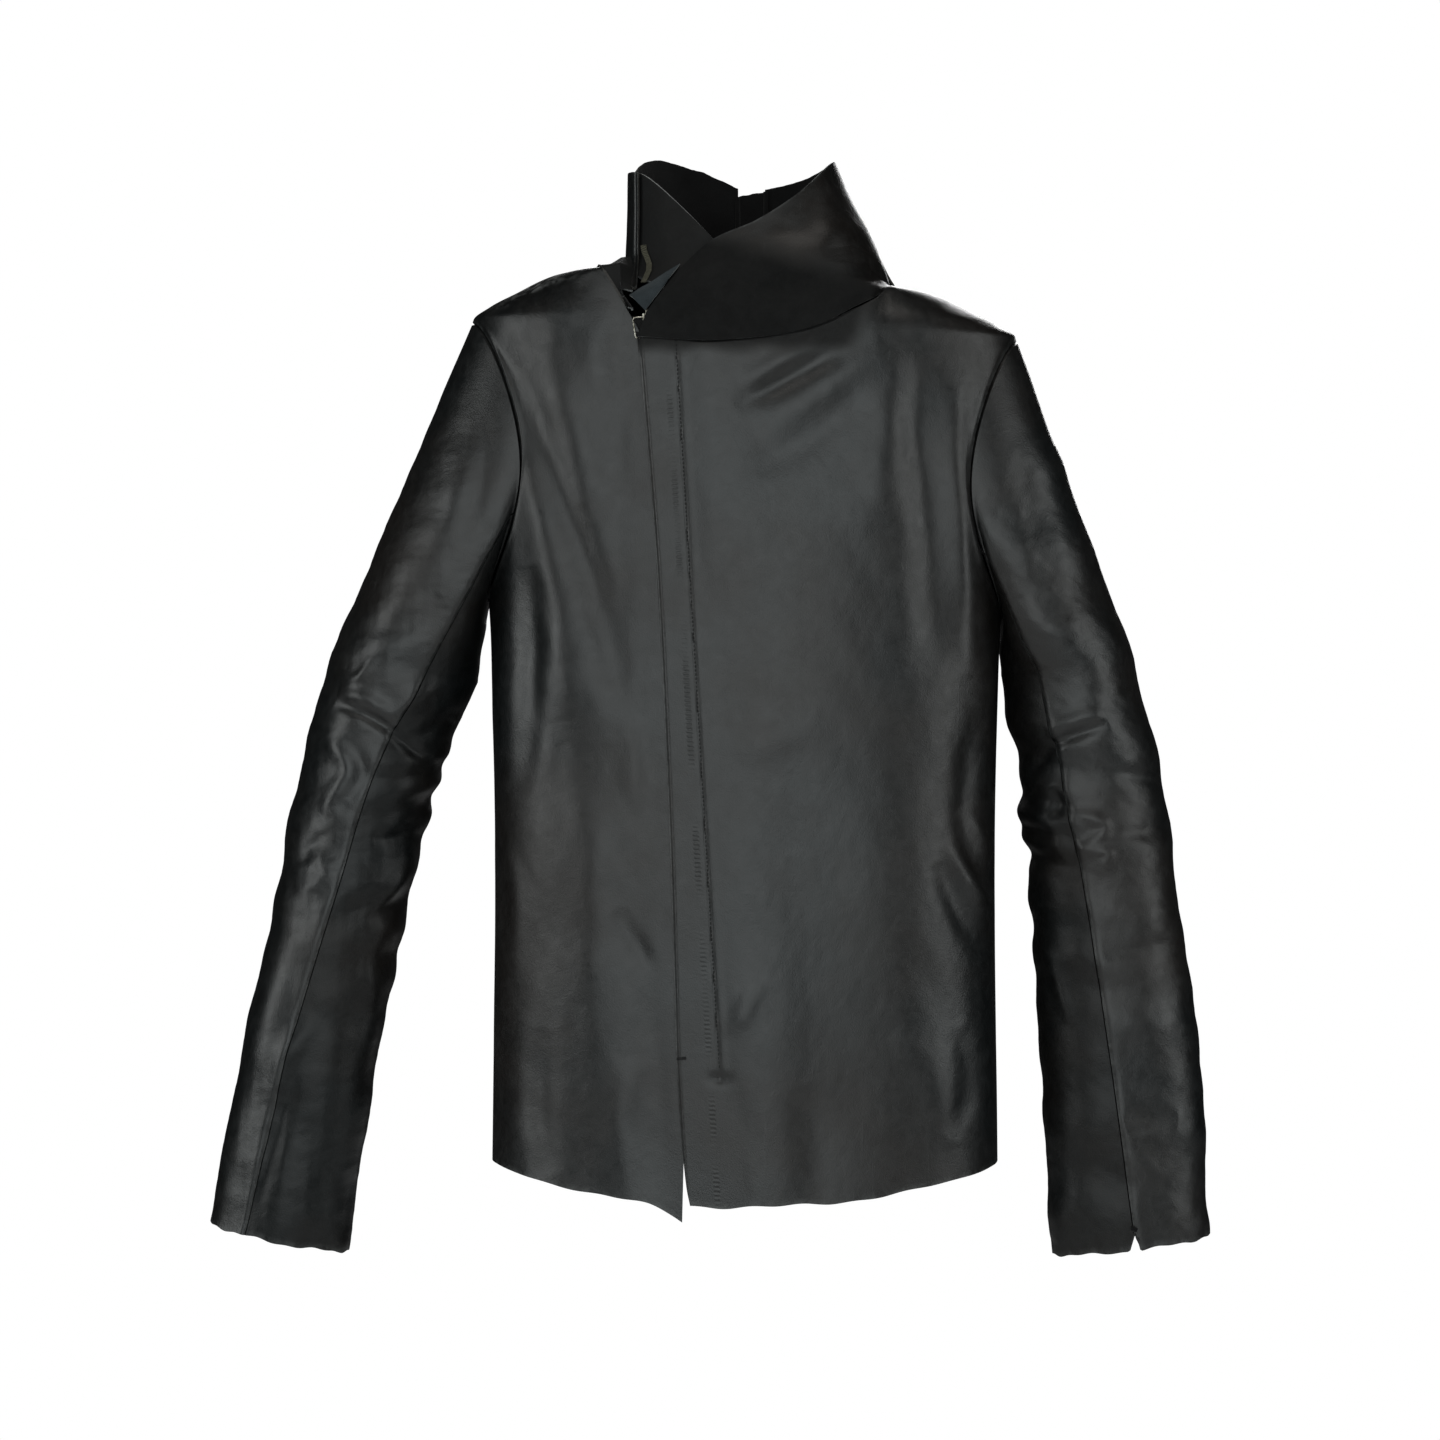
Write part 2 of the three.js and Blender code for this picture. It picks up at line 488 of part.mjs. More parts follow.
function buildZip() {
  const length = zipTravel + slider.long + 2;
  const tapeFront = -(leather + gap);
  const tapeMiddle = tapeFront - tapeThick / 2;
  const coilIn = slider.web / 2 + slider.clearance + 0.1;
  const tapeIn = coilIn + coilWidth + gap;
  for (const [name, side] of [['left', 1], ['right', -1]]) {
    const tape = bar(side * tapeIn, side * (tapeIn + tapeWidth), tapeFront - tapeThick, tapeFront);
    addPiece(`zip_tape_${name}`, drawOut(tape, -slider.half, length), tapeCloth, zipFrame);
    const [coilBack, coilFace] = [tapeMiddle - coilThick / 2, tapeMiddle + coilThick / 2];
    const coil = bar(side * coilIn, side * (coilIn + coilWidth), coilBack, coilFace);
    addPiece(`zip_coil_${name}`, drawOut(coil, -slider.half - 2, length), coilNylon, zipFrame);
    const stop = bar(side * coilIn, side * (coilIn + coilWidth + 0.4), tapeMiddle - 1, tapeMiddle + 1);
    const stopEnd = -slider.half - 2 - gap;
    addPiece(`zip_top_stop_${name}`, drawOut(stop, stopEnd - 2.2, stopEnd), steel, zipFrame);
  }
  const stopHalf = coilIn + coilWidth;
  const lowStop = bar(-stopHalf, stopHalf, tapeMiddle - 1.2, tapeMiddle + 1.2);
  addPiece('zip_bottom_stop', drawOut(lowStop, length + gap, length + 5), steel, zipFrame);
  const placketUnder = placketStep - leather;
  const facing = bar(slider.half + 1, stitchReach - 1.5, -leather, placketUnder - gap);
  addPiece('placket_facing', drawOut(facing, -4, length + 10), blackLeather, zipFrame);
  const guardFront = tapeFront - tapeThick - slider.plate - 1.3;
  const foot = tapeFront - tapeThick - gap;
  const guard = [[-slider.half - 8, guardFront - leather], [tapeWidth + 3, guardFront - leather],
    [tapeWidth + 3, foot], [slider.half + 4, foot], [slider.half + 4, guardFront], [-slider.half - 8, guardFront]];
  addPiece('zip_guard', drawOut(guard, -6, length + 8), suede, zipFrame);
  const tack = bar(-12, -5, placketStep + gap, placketStep + gap + 0.8);
  addPiece('zip_bartack', drawOut(tack, length + 8, length + 10), suede, zipFrame);

  const channel = coilThick / 2 + slider.clearance;
  const plates = [tapeMiddle - channel - slider.plate, tapeMiddle - channel, tapeMiddle + channel,
    tapeMiddle + channel + slider.plate];
  const [half, long] = [slider.half, slider.long / 2];
  const web = slider.web / 2;
  const body = drawOut([
    [-half, plates[0]], [half, plates[0]], [half, plates[1]], [web, plates[1]], [web, plates[2]],
    [half, plates[2]], [half, plates[3]], [-half, plates[3]], [-half, plates[2]], [-web, plates[2]],
    [-web, plates[1]], [-half, plates[1]],
  ], -long, long);
  const wireN = pull.wire / 2 + gap;
  const roof = wireN + pull.wire / 2 + 0.2;
  const pin = -long + bail.leg + bail.room / 2 + 0.3;
  const arch = drawOut(bar(-half + 0.1, -half + 0.1 + bail.width, plates[3] - 0.4, roof + bail.roof),
    pin - bail.room / 2 - bail.leg, pin + bail.room / 2 + bail.leg);
  const eye = drawOut(bar(-half - 1, -half + bail.width + 1, plates[3], roof),
    pin - bail.room / 2, pin + bail.room / 2);
  addPiece('zip_slider', fromSolid(solid(body).add(solid(arch)).subtract(solid(eye))), steel, zipFrame);

  const reach = pull.width / 2 - pull.wire / 2;
  const bottom = pull.long - pull.wire;
  const round = 2.2;
  const corners = [V(-reach, 0, 0), V(reach, 0, 0), V(reach * 0.75, 0, bottom), V(-reach * 0.75, 0, bottom)];
  const points = corners.flatMap((corner, k) => {
    const before = corners[(k + 3) % 4];
    const after = corners[(k + 1) % 4];
    const from = corner.clone().add(V().subVectors(before, corner).setLength(round));
    const to = corner.clone().add(V().subVectors(after, corner).setLength(round));
    return [0, 0.5, 1].map((t) => from.clone().lerp(corner, t).lerp(corner.clone().lerp(to, t), t));
  });
  const wire = ringTube(points, pull.wire / 2, 8);
  wire.translate(-pull.aside, wireN, pin);
  addPiece('zip_pull_ring', wire, steel, zipFrame);
}

// A closed loop of round wire lying in the plane of the zip.
function ringTube(points, radius, sides) {
  const count = points.length;
  const position = [];
  points.forEach((p, k) => {
    const ahead = V().subVectors(points[(k + 1) % count], points[(k + count - 1) % count]).normalize();
    const across = V().crossVectors(ahead, V(0, 1, 0)).normalize();
    for (let m = 0; m < sides; m += 1) {
      const turn = (2 * Math.PI * m) / sides;
      const round = V(0, radius * Math.sin(turn), 0);
      const q = p.clone().addScaledVector(across, radius * Math.cos(turn)).add(round);
      position.push(q.x, q.y, q.z);
    }
  });
  const index = [];
  for (let k = 0; k < count; k += 1) {
    for (let m = 0; m < sides; m += 1) {
      const [a, b] = [k * sides + m, k * sides + ((m + 1) % sides)];
      const [c, d] = [((k + 1) % count) * sides + m, ((k + 1) % count) * sides + ((m + 1) % sides)];
      index.push(a, c, d, a, d, b);
    }
  }
  const geometry = new THREE.BufferGeometry();
  geometry.setAttribute('position', new THREE.Float32BufferAttribute(position, 3));
  geometry.setIndex(index);
  return geometry;
}

// The zip's tape runs on past the slider and ends as a loose wavy tongue on the collar's stand.
function buildTapeEnd() {
  const near = foldEdge + 0.9 * leather;
  const wave = (offset) => (z) => near + offset + 5 * Math.sin(((z + 10) / 36) * Math.PI) ** 2;
  collarPiece('zip_tape_end', [[near, -5], [near + 4, -5]], [[near, 26], [near + 3, 26]], [wave(0), wave(4)],
    collarFrontY(standInset - tapeThick - 2 * gap), 1, tapeCloth, 2, 6, tapeThick);
}

buildBody();
buildCollar();
buildTapeEnd();
buildSleeve('left', leftSleeve, jacket);
buildSleeve('right', rightSleeve, jacket);
buildZip();

export default jacket;
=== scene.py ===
import bpy
import numpy as np
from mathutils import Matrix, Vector


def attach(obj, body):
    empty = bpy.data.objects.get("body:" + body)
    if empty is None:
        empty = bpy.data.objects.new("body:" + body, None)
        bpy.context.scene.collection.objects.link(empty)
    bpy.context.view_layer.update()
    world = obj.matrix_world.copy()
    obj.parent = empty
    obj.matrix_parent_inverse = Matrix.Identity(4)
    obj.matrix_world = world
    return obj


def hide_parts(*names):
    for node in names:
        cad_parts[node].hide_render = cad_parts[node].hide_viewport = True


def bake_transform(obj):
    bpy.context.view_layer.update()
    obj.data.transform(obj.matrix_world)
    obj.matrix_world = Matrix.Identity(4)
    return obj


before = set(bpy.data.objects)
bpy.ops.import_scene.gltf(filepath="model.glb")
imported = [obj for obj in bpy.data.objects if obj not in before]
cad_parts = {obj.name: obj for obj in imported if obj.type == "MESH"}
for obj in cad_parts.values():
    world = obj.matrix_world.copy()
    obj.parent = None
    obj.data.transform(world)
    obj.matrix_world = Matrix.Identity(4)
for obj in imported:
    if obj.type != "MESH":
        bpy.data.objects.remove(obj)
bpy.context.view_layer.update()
print("frame loaded")


# Curves and grids, all in millimetres.
def mix(a, b, t):
    return a + (b - a) * t


def ease(low, high, value):
    # 0 below low, 1 above high, and 3t^2 - 2t^3 between them
    t = np.clip((value - low) / (high - low), 0, 1)
    return t * t * (3 - 2 * t)


def hump(value, at, width):
    # 1 at the place, falling away on both sides of it
    return np.exp(-((value - at) / width) ** 2)


def through(pairs):
    # Smooth curve through (at, value) pairs: cubic pieces, whose slope at a pair is the harmonic mean of the
    # slopes on its two sides, or level where those differ in sign.
    at, value = np.array(sorted(pairs), float).T
    slope = np.diff(value) / np.diff(at)
    before, after = slope[:-1], slope[1:]
    together = before + after
    inner = np.where(before * after > 0, 2 * before * after / np.where(together == 0, 1, together), 0)
    tangent = np.concatenate([slope[:1], inner, slope[-1:]])

    def curve(place):
        place = np.asarray(place, float)
        i = np.clip(np.searchsorted(at, place) - 1, 0, len(at) - 2)
        h = at[i + 1] - at[i]
        t = np.clip((place - at[i]) / h, 0, 1)
        level = (1 + 2 * t) * (1 - t) ** 2 * value[i] + t * t * (3 - 2 * t) * value[i + 1]
        return level + h * (t * (1 - t) ** 2 * tangent[i] - t * t * (1 - t) * tangent[i + 1])
    return curve


def route(points, shares, fine=40):
    # Centripetal Catmull-Rom line through the points, read at shares of its length.
    p = np.array(points, float)
    ends = np.vstack([2 * p[0] - p[1], p, 2 * p[-1] - p[-2]])
    t = np.linspace(0, 1, fine, endpoint=False)[:, None]
    parts = []
    for a, b, c, d in zip(ends, ends[1:], ends[2:], ends[3:]):
        ab, bc, cd = [max(np.linalg.norm(to - fro), 1e-6) ** 0.5 for fro, to in ((a, b), (b, c), (c, d))]
        start = bc * ((b - a) / ab - (c - a) / (ab + bc) + (c - b) / bc)
        stop = bc * ((c - b) / bc - (d - b) / (bc + cd) + (d - c) / cd)
        parts.append((2 * t**3 - 3 * t**2 + 1) * b + (t**3 - 2 * t**2 + t) * start
                     + (3 * t**2 - 2 * t**3) * c + (t**3 - t**2) * stop)
    line = np.vstack(parts + [p[-1:]])
    length = np.concatenate([[0], np.cumsum(np.linalg.norm(np.diff(line, axis=0), axis=1))])
    return np.stack([np.interp(np.asarray(shares) * length[-1], length, axis) for axis in line.T], axis=-1)


def patch(bottom, top, left, right):
    # Between four edges: the mean path across plus the mean path up, less the plane through the corners.
    v = np.linspace(0, 1, len(left))[:, None, None]
    u = np.linspace(0, 1, len(bottom))[None, :, None]
    across = mix(bottom[None], top[None], v)
    up = mix(left[:, None], right[:, None], u)
    corners = mix(mix(bottom[0], bottom[-1], u), mix(top[0], top[-1], u), v)
    return across + up - corners


def bunched(count, pull=0.45):
    # Shares from 0 to 1 that lie closer together at both ends: t less pull times sin(2 pi t) / 2 pi.
    t = np.linspace(0, 1, count)
    return t - pull * np.sin(2 * np.pi * t) / (2 * np.pi)


def normalsOf(grid, outward):
    # Unit cross product of the steps along and up the grid.
    normal = np.cross(np.gradient(grid, axis=1), np.gradient(grid, axis=0)) * outward
    return normal / np.maximum(np.linalg.norm(normal, axis=-1, keepdims=True), 1e-9)


def ridges(x, z, lines):
    # Each line adds its height times exp(-(distance / width)^2), and fades out towards both of its ends.
    total = np.zeros(x.shape)
    for points, height, width in lines:
        path = route(points, np.linspace(0, 1, 12))
        near = np.full(x.shape, 1e9)
        share = np.zeros(x.shape)
        for k, (a, b) in enumerate(zip(path, path[1:])):
            step = b - a
            t = np.clip(((x - a[0]) * step[0] + (z - a[1]) * step[1]) / (step @ step), 0, 1)
            gap = np.hypot(x - a[0] - t * step[0], z - a[1] - t * step[1])
            share = np.where(gap < near, (k + t) / (len(path) - 1), share)
            near = np.minimum(near, gap)
        total += height * hump(near, 0, width) * np.sin(np.pi * np.clip(share, 0, 1)) ** 0.7
    return total


def swell(x, z, size, seed, stretch=1.0):
    # Slow unevenness, mostly between -1 and 1: a quarter of the sum of eight sine waves in seeded directions.
    rng = np.random.default_rng(seed)
    turn, phase = rng.uniform(0, np.pi, 8), rng.uniform(0, 2 * np.pi, 8)
    pitch = size * rng.uniform(0.7, 1.5, 8)
    waves = [np.sin(2 * np.pi * (x * stretch * np.cos(a) + z * np.sin(a)) / p + f)
             for a, p, f in zip(turn, pitch, phase)]
    return sum(waves) / 4


# The jacket's own shape.
cut = {"leather": 1.8, "sideSeam": 0.6, "armholeGap": 2.6, "fullness": 2.5}
body = {
    "shoulder": 207, "neck": 111, "chest": 193, "waist": 190, "hem": 192, "hemDrop": 664, "hemBelly": 24,
    "frontTop": 92, "frontHem": 104, "backNeck": 64, "backBlade": 112, "backWaist": 88, "backHem": 100,
    "armholeDrop": 212, "armholeFront": 65, "armholeBack": 72,
}
zipLine = {"topX": -71, "topZ": -36, "bottomX": -38, "bottomZ": -587, "step": 4.6, "lip": 9, "stitch": 18.5,
           "clear": 6}
sleeveDepths, sleeveForward, backSeam = [62, 54, 47, 41, 34], [4, 2, -4, -12, -18], [236, 240, 244, 248, 252]
leftSleeve = {
    "side": 1, "tipDrop": 42, "drops": [290, 372, 460, 600, 728], "outer": [297, 317, 328, 346, 352],
    "inner": [196, 210, 219, 226, 233], "frontSeam": [124, 119, 110, 100, 90], "slit": 13,
}
rightSleeve = {
    "side": -1, "tipDrop": 28, "drops": [290, 372, 460, 600, 722], "outer": [316, 339, 355, 383, 405],
    "inner": [206, 237, 257, 284, 301], "frontSeam": [114, 100, 90, 74, 64], "slit": 0,
}


def outline(side, tipDrop):
    # Half width at each height, from the hem over the shoulder's slope to the neck.
    tip, neck = body["shoulder"], body["neck"]
    fall = lambda share: -tipDrop + (tipDrop - 2) * share + (14 * share if side < 0 else 0)
    return through([
        (-body["hemDrop"], body["hem"]), (-450, body["waist"]),
        (-tipDrop - body["armholeDrop"] - 40, body["chest"]),
        (-tipDrop - 0.62 * body["armholeDrop"], mix(tip, body["chest"], 0.4)),
        (-tipDrop - 40, tip), (-tipDrop, tip), (fall(0.25), mix(tip, neck, 0.13)),
        (fall(0.5), mix(tip, neck, 0.33)), (fall(0.83), mix(tip, neck, 0.62)),
        (fall(1), neck), (fall(1) + 12, neck - 20),
    ])


outlineLeft, outlineRight = outline(1, leftSleeve["tipDrop"]), outline(-1, rightSleeve["tipDrop"])
frontDepth = through([
    (-body["hemDrop"] - 20, body["frontHem"]), (-36, body["frontTop"]), (-10, 82), (20, 66),
])
backDepth = through([
    (-body["hemDrop"] - 20, body["backHem"]), (-450, body["backWaist"]), (-200, body["backBlade"]), (-80, 98),
    (-20, 78), (5, body["backNeck"]), (30, 54),
])


def halfWidth(x, z):
    return np.where(np.asarray(x) > 0, outlineLeft(z), outlineRight(z))


def bodyY(x, z, front):
    # Level sections are superellipses: (|x| / half width)^2.5 + (|y| / depth)^2.5 = 1.
    share = np.minimum(np.abs(x) / halfWidth(x, z), 1)
    depth = (1 - share ** cut["fullness"]) ** (1 / cut["fullness"])
    if front:
        return -np.maximum(frontDepth(z) * depth, cut["sideSeam"])
    return np.maximum(backDepth(z) * depth, cut["sideSeam"])


def bodyX(side, y, z):
    depth = np.where(y < 0, frontDepth(z), backDepth(z))
    share = np.minimum(np.abs(y) / depth, 1)
    return halfWidth(side, z) * (1 - share ** cut["fullness"]) ** (1 / cut["fullness"])


def zipX(z):
    slope = (zipLine["bottomX"] - zipLine["topX"]) / (zipLine["bottomZ"] - zipLine["topZ"])
    return zipLine["topX"] + (z - zipLine["topZ"]) * slope


zipStart, zipStop = [np.array([x, float(bodyY(x, z, True)) + zipLine["step"], z]) for x, z in
                     ((zipLine["topX"], zipLine["topZ"]), (zipLine["bottomX"], zipLine["bottomZ"]))]
zipDown = (zipStop - zipStart) / np.linalg.norm(zipStop - zipStart)
zipOut = np.array([-0.07, -1, 0]) - (np.array([-0.07, -1, 0]) @ zipDown) * zipDown
zipOut /= np.linalg.norm(zipOut)


def frontY(x, z, level):
    # Flat beside the zip, in the plane that lies level above it, and the body's round away from it and
    # towards the shoulder.
    flat = zipStart[1] + (level - (x - zipStart[0]) * zipOut[0] - (z - zipStart[2]) * zipOut[2]) / zipOut[1]
    share = np.abs(x) / halfWidth(x, z)
    rounded = np.maximum(ease(24, 90, np.abs(x - zipX(z))), ease(0.66, 0.97, share))
    return mix(flat, bodyY(x, z, True), rounded)


def armhole(sleeve, degrees):
    # Round the arm: 0 at the shoulder tip, 90 at the front, 180 at the armpit, 270 at the back.
    turn = np.radians(degrees)
    share = (1 - np.cos(turn)) / 2
    z = -sleeve["tipDrop"] - body["armholeDrop"] * share
    reach = np.where(np.sin(turn) > 0, -body["armholeFront"], body["armholeBack"])
    y = reach * np.abs(np.sin(turn)) ** mix(0.6, 0.9, share)
    return np.stack([sleeve["side"] * bodyX(sleeve["side"], y, z), y, z], axis=-1)


def shoulderZ(x):
    # Height of the outline above a place on the shoulder, by halving.
    low, high = np.full(np.shape(x), -42.0), np.full(np.shape(x), 40.0)
    for _ in range(24):
        middle = (low + high) / 2
        inside = halfWidth(x, middle) > np.abs(x)
        low, high = np.where(inside, middle, low), np.where(inside, high, middle)
    return low


def shoulderLine(side):
    x = side * mix(body["neck"], body["shoulder"] - 0.5, np.linspace(0, 1, 5))
    return np.stack([x, shoulderZ(x)], axis=-1)


def onShoulder(edge):
    z = np.where(np.abs(edge[:, 0]) >= body["neck"], shoulderZ(edge[:, 0]), edge[:, 1])
    return np.stack([edge[:, 0], z], axis=-1)


def sideEdge(sleeve, sideRows, armRows):
    pit = armhole(sleeve, 180.0)
    z = mix(-body["hemDrop"], pit[2], np.arange(sideRows) / sideRows)
    side = np.stack([sleeve["side"] * halfWidth(sleeve["side"], z), z], axis=-1)
    arm = armhole(sleeve, np.linspace(180, 0, armRows + 1))
    return np.vstack([side, arm[:, [0, 2]]])


def heightShares(edge):
    return (edge[:, 1] - edge[0, 1]) / (edge[-1, 1] - edge[0, 1])


neckFront = [(-80, -49), (-20, -52), (50, -42), (95, -19), (body["neck"], -3)]
lip = through([(zipLine["bottomZ"], zipLine["lip"] + 4), (-395, 7.5), (-230, 5.6), (-49, zipLine["lip"])])
ringLeft = through([(-50, -104), (0, -92), (40, -90), (99, -89)])
ringRight = through([(-50, 124), (0, body["neck"]), (37, 96), (67, 80), (93, 69)])
ringFront = through([(-50, 92), (0, 82), (99, 76)])
ringBack = through([(-50, 70), (0, body["backNeck"]), (99, 54)])


def ringY(x, z, front, inset):
    # The collar's level sections: superellipses of power 2.3 between its own extremes at each height.
    middle, half = (ringLeft(z) + ringRight(z)) / 2, (ringRight(z) - ringLeft(z)) / 2 - inset
    share = np.minimum(np.abs(x - middle) / half, 1)
    reach = (ringBack(z) + ringFront(z)) / 2 - inset
    depth = np.maximum(reach * (1 - share ** 2.3) ** (1 / 2.3), 2 * cut["sideSeam"])
    return (ringBack(z) - ringFront(z)) / 2 + (-depth if front else depth)


def collarFrontY(inset):
    return lambda x, z: mix(frontY(x, z, zipLine["step"]) + inset, ringY(x, z, True, inset),
                            ease(mix(-22, -45, ease(-55, 30, x)), 22, z))


def collarBackY(x, z):
    return mix(bodyY(x, z, False), ringY(x, z, False, 0), ease(-5, 35, z))


def sleevePoint(sleeve, degrees, ring):
    # From the armhole (ring 0) to the first full ring (1), then full rings to the cuff (5): each full ring is
    # an ellipse between the arm's outer and inner edges.
    turn, at, side = np.radians(degrees), np.maximum(ring, 1), sleeve["side"]
    station = lambda values: through(list(enumerate(values, 1)))(at)
    outer, inner = station(sleeve["outer"]), station(sleeve["inner"])
    lean = (sleeve["outer"][-1] - sleeve["outer"][0]) / (sleeve["drops"][-1] - sleeve["drops"][0])
    reach = (outer - inner) / 2 * np.cos(turn)
    full = np.stack([side * ((outer + inner) / 2 + reach),
                     station(sleeveForward) - station(sleeveDepths) * np.sin(turn),
                     -station(sleeve["drops"]) + reach * lean], axis=-1)
    seam = armhole(sleeve, degrees)
    run = full - seam
    run = run / np.linalg.norm(run, axis=-1, keepdims=True) * cut["armholeGap"]
    aside = np.array([side, 0, 1]) / 2 ** 0.5 * cut["armholeGap"]
    start = seam + mix(run, aside, ease(0, 0.6, -np.cos(turn))[..., None])
    share = np.clip(ring, 0, 1)
    swollen = mix(besideBody(start, side), full, share[..., None])
    swollen[..., 1] -= np.sign(np.sin(turn)) * 14 * share * (1 - share) * np.abs(np.sin(turn))
    head = np.where((ring == 0)[..., None], start, besideBody(swollen, side))
    return np.where((ring >= 1)[..., None], full, head)


def besideBody(point, side):
    # Under the arm the sleeve lies outside the body's side.
    x = np.abs(point[..., 0])
    clear = bodyX(side, point[..., 1], point[..., 2]) + cut["armholeGap"]
    moved = point.copy()
    moved[..., 0] = side * np.maximum(x, mix(x, clear, ease(90, 190, -point[..., 2])))
    return moved


# Finishes.
def wire(socket, value):
    # Another node's output is linked to the socket, and anything else becomes its value.
    if isinstance(value, bpy.types.NodeSocket):
        socket.id_data.links.new(value, socket)
    else:
        socket.default_value = value


def nodesOf(name):
    # A new material, with a function that adds nodes to it and one that fills in its shader.
    material = bpy.data.materials.new(name)
    material.use_nodes = True
    shader = next(n for n in material.node_tree.nodes if n.type == "BSDF_PRINCIPLED")

    def add(kind, settings=None, **inputs):
        node = material.node_tree.nodes.new("ShaderNode" + kind)
        for key, value in (settings or {}).items():
            setattr(node, key, value)
        for key, value in inputs.items():
            wire(node.inputs[key], value)
        return node

    def shade(parts):
        for key, value in parts.items():
            wire(shader.inputs[key], value)
    return material, add, shade


def noise(add, place, scale, detail=3.0, **more):
    return add("TexNoise", Vector=place, Scale=scale, Detail=detail, **more).outputs[0]


def stretched(add, place, scales, turn=(0, 0, 0), **more):
    # Noise drawn out into strokes.
    drawn = add("Mapping", Vector=place, Rotation=turn, Scale=scales)
    return noise(add, drawn.outputs[0], 1.0, **more)


def ramp(add, factor, low, high, lowValue=0.0, highValue=1.0):
    # Straight rise from lowValue at low to highValue at high, held level outside them.
    node = add("MapRange", Value=factor)
    for place, value in enumerate((low, high, lowValue, highValue), 1):
        wire(node.inputs[place], value)
    return node.outputs[0]


def blendColour(add, factor, a, b):
    node = add("Mix", {"data_type": "RGBA"})
    for place, value in ((0, factor), (6, a), (7, b)):
        wire(node.inputs[place], (*value, 1) if isinstance(value, tuple) else value)
    return node.outputs[2]


def maths(add, operation, *values):
    node = add("Math", {"operation": operation})
    for place, value in enumerate(values):
        wire(node.inputs[place], value)
    return node.outputs[0]


def bumpOn(add, height, distance, strength, under=None):
    below = {} if under is None else {"Normal": under}
    return add("Bump", Height=height, Distance=distance, Strength=strength, **below).outputs[0]


grainLook = {
    "cool": (0.0036, 0.0050, 0.0054), "warm": (0.0066, 0.0052, 0.0044), "worn": (0.060, 0.064, 0.063),
    # the last colour here is painted shade: near black, for where the collar's shadow falls
    "scuffed": (0.15, 0.155, 0.155), "greased": (0.0008, 0.0010, 0.0010),
    "gloss": 0.34, "dull": 0.46, "pore": 0.0011, "crease": 0.012, "shine": 0.66,
    "toothBand": 0.0115, "toothPitch": 0.0033,
}


def grainLeather(name, look, imprint=False):
    material, add, shade = nodesOf(name)
    place = add("TexCoord").outputs["Object"]
    cloud = noise(add, place, 7.0, 5.0, Roughness=0.6)
    mottle = noise(add, place, 95.0, 6.0, Roughness=0.7, Distortion=0.6)
    pores = add("TexVoronoi", Vector=place, Scale=1 / look["pore"]).outputs["Distance"]
    fine = noise(add, place, 1500.0)
    creases = add("TexNoise", {"noise_type": "RIDGED_MULTIFRACTAL"}, Vector=place, Scale=1 / look["crease"],
                  Detail=4.0, Roughness=0.55, Distortion=0.9).outputs[0]
    strokes = stretched(add, place, (210, 210, 9), (0.1, 0.35, 0.2), Distortion=0.35)
    scratch = maths(add, "MULTIPLY", ramp(add, strokes, 0.66, 0.74), ramp(add, cloud, 0.45, 0.62))
    edge, scuff, grease = [add("Attribute", {"attribute_name": key}).outputs["Fac"]
                           for key in ("rim", "scuff", "grease")]
    broken = maths(add, "MULTIPLY", edge, ramp(add, mottle, 0.40, 0.62))
    base = blendColour(add, ramp(add, cloud, 0.38, 0.62), look["cool"], look["warm"])
    speckled = blendColour(add, ramp(add, mottle, 0.42, 0.75, 0.0, 0.09), base, look["worn"])
    scuffs = maths(add, "MULTIPLY", scuff, ramp(add, mottle, 0.46, 0.60))
    marked = blendColour(add, maths(add, "MULTIPLY", scratch, 0.10), speckled, look["worn"])
    rubbed = blendColour(add, scuffs, marked, look["scuffed"])
    edged = blendColour(add, maths(add, "MULTIPLY", broken, 0.75), rubbed, look["worn"])
    rough = maths(add, "ADD", ramp(add, mottle, 0.3, 0.75, look["gloss"], look["dull"]),
                  ramp(add, cloud, 0.3, 0.7, -0.05, 0.06))
    relief = bumpOn(add, mottle, 0.0008, 0.30)
    relief = bumpOn(add, creases, 0.0005, 0.11, relief)
    relief = bumpOn(add, scratch, 0.0003, 0.20, relief)
    relief = bumpOn(add, maths(add, "ADD", pores, maths(add, "MULTIPLY", fine, 0.5)), 0.00022, 0.30, relief)
    if imprint:
        # The zip's teeth press through: a ripple, in stretches, in a band beside the stitching.
        across, along = add("SeparateXYZ", Vector=add("UVMap", {"uv_map": "panel"}).outputs[0]).outputs[:2]
        aside = maths(add, "ABSOLUTE", maths(add, "SUBTRACT", across, look["toothBand"]))
        band = maths(add, "SUBTRACT", 1.0, ramp(add, aside, 0.0014, 0.0026))
        stretch = add("TexNoise", {"noise_dimensions": "1D"}, W=along, Scale=11.0, Detail=1.0).outputs[0]
        teeth = maths(add, "SINE", maths(add, "MULTIPLY", along, 2 * np.pi / look["toothPitch"]))
        shown = maths(add, "MULTIPLY", band, ramp(add, stretch, 0.46, 0.56))
        relief = bumpOn(add, maths(add, "MULTIPLY", teeth, shown), 0.0005, 0.35, relief)
    # Painted shade: where the collar's shadow falls at the neck, the leather is painted darker and made
    # duller.
    shade({"Base Color": blendColour(add, grease, edged, look["greased"]),
           "Roughness": maths(add, "MULTIPLY_ADD", grease, 0.5, rough),
           "Specular IOR Level": look["shine"], "Normal": relief})
    return material


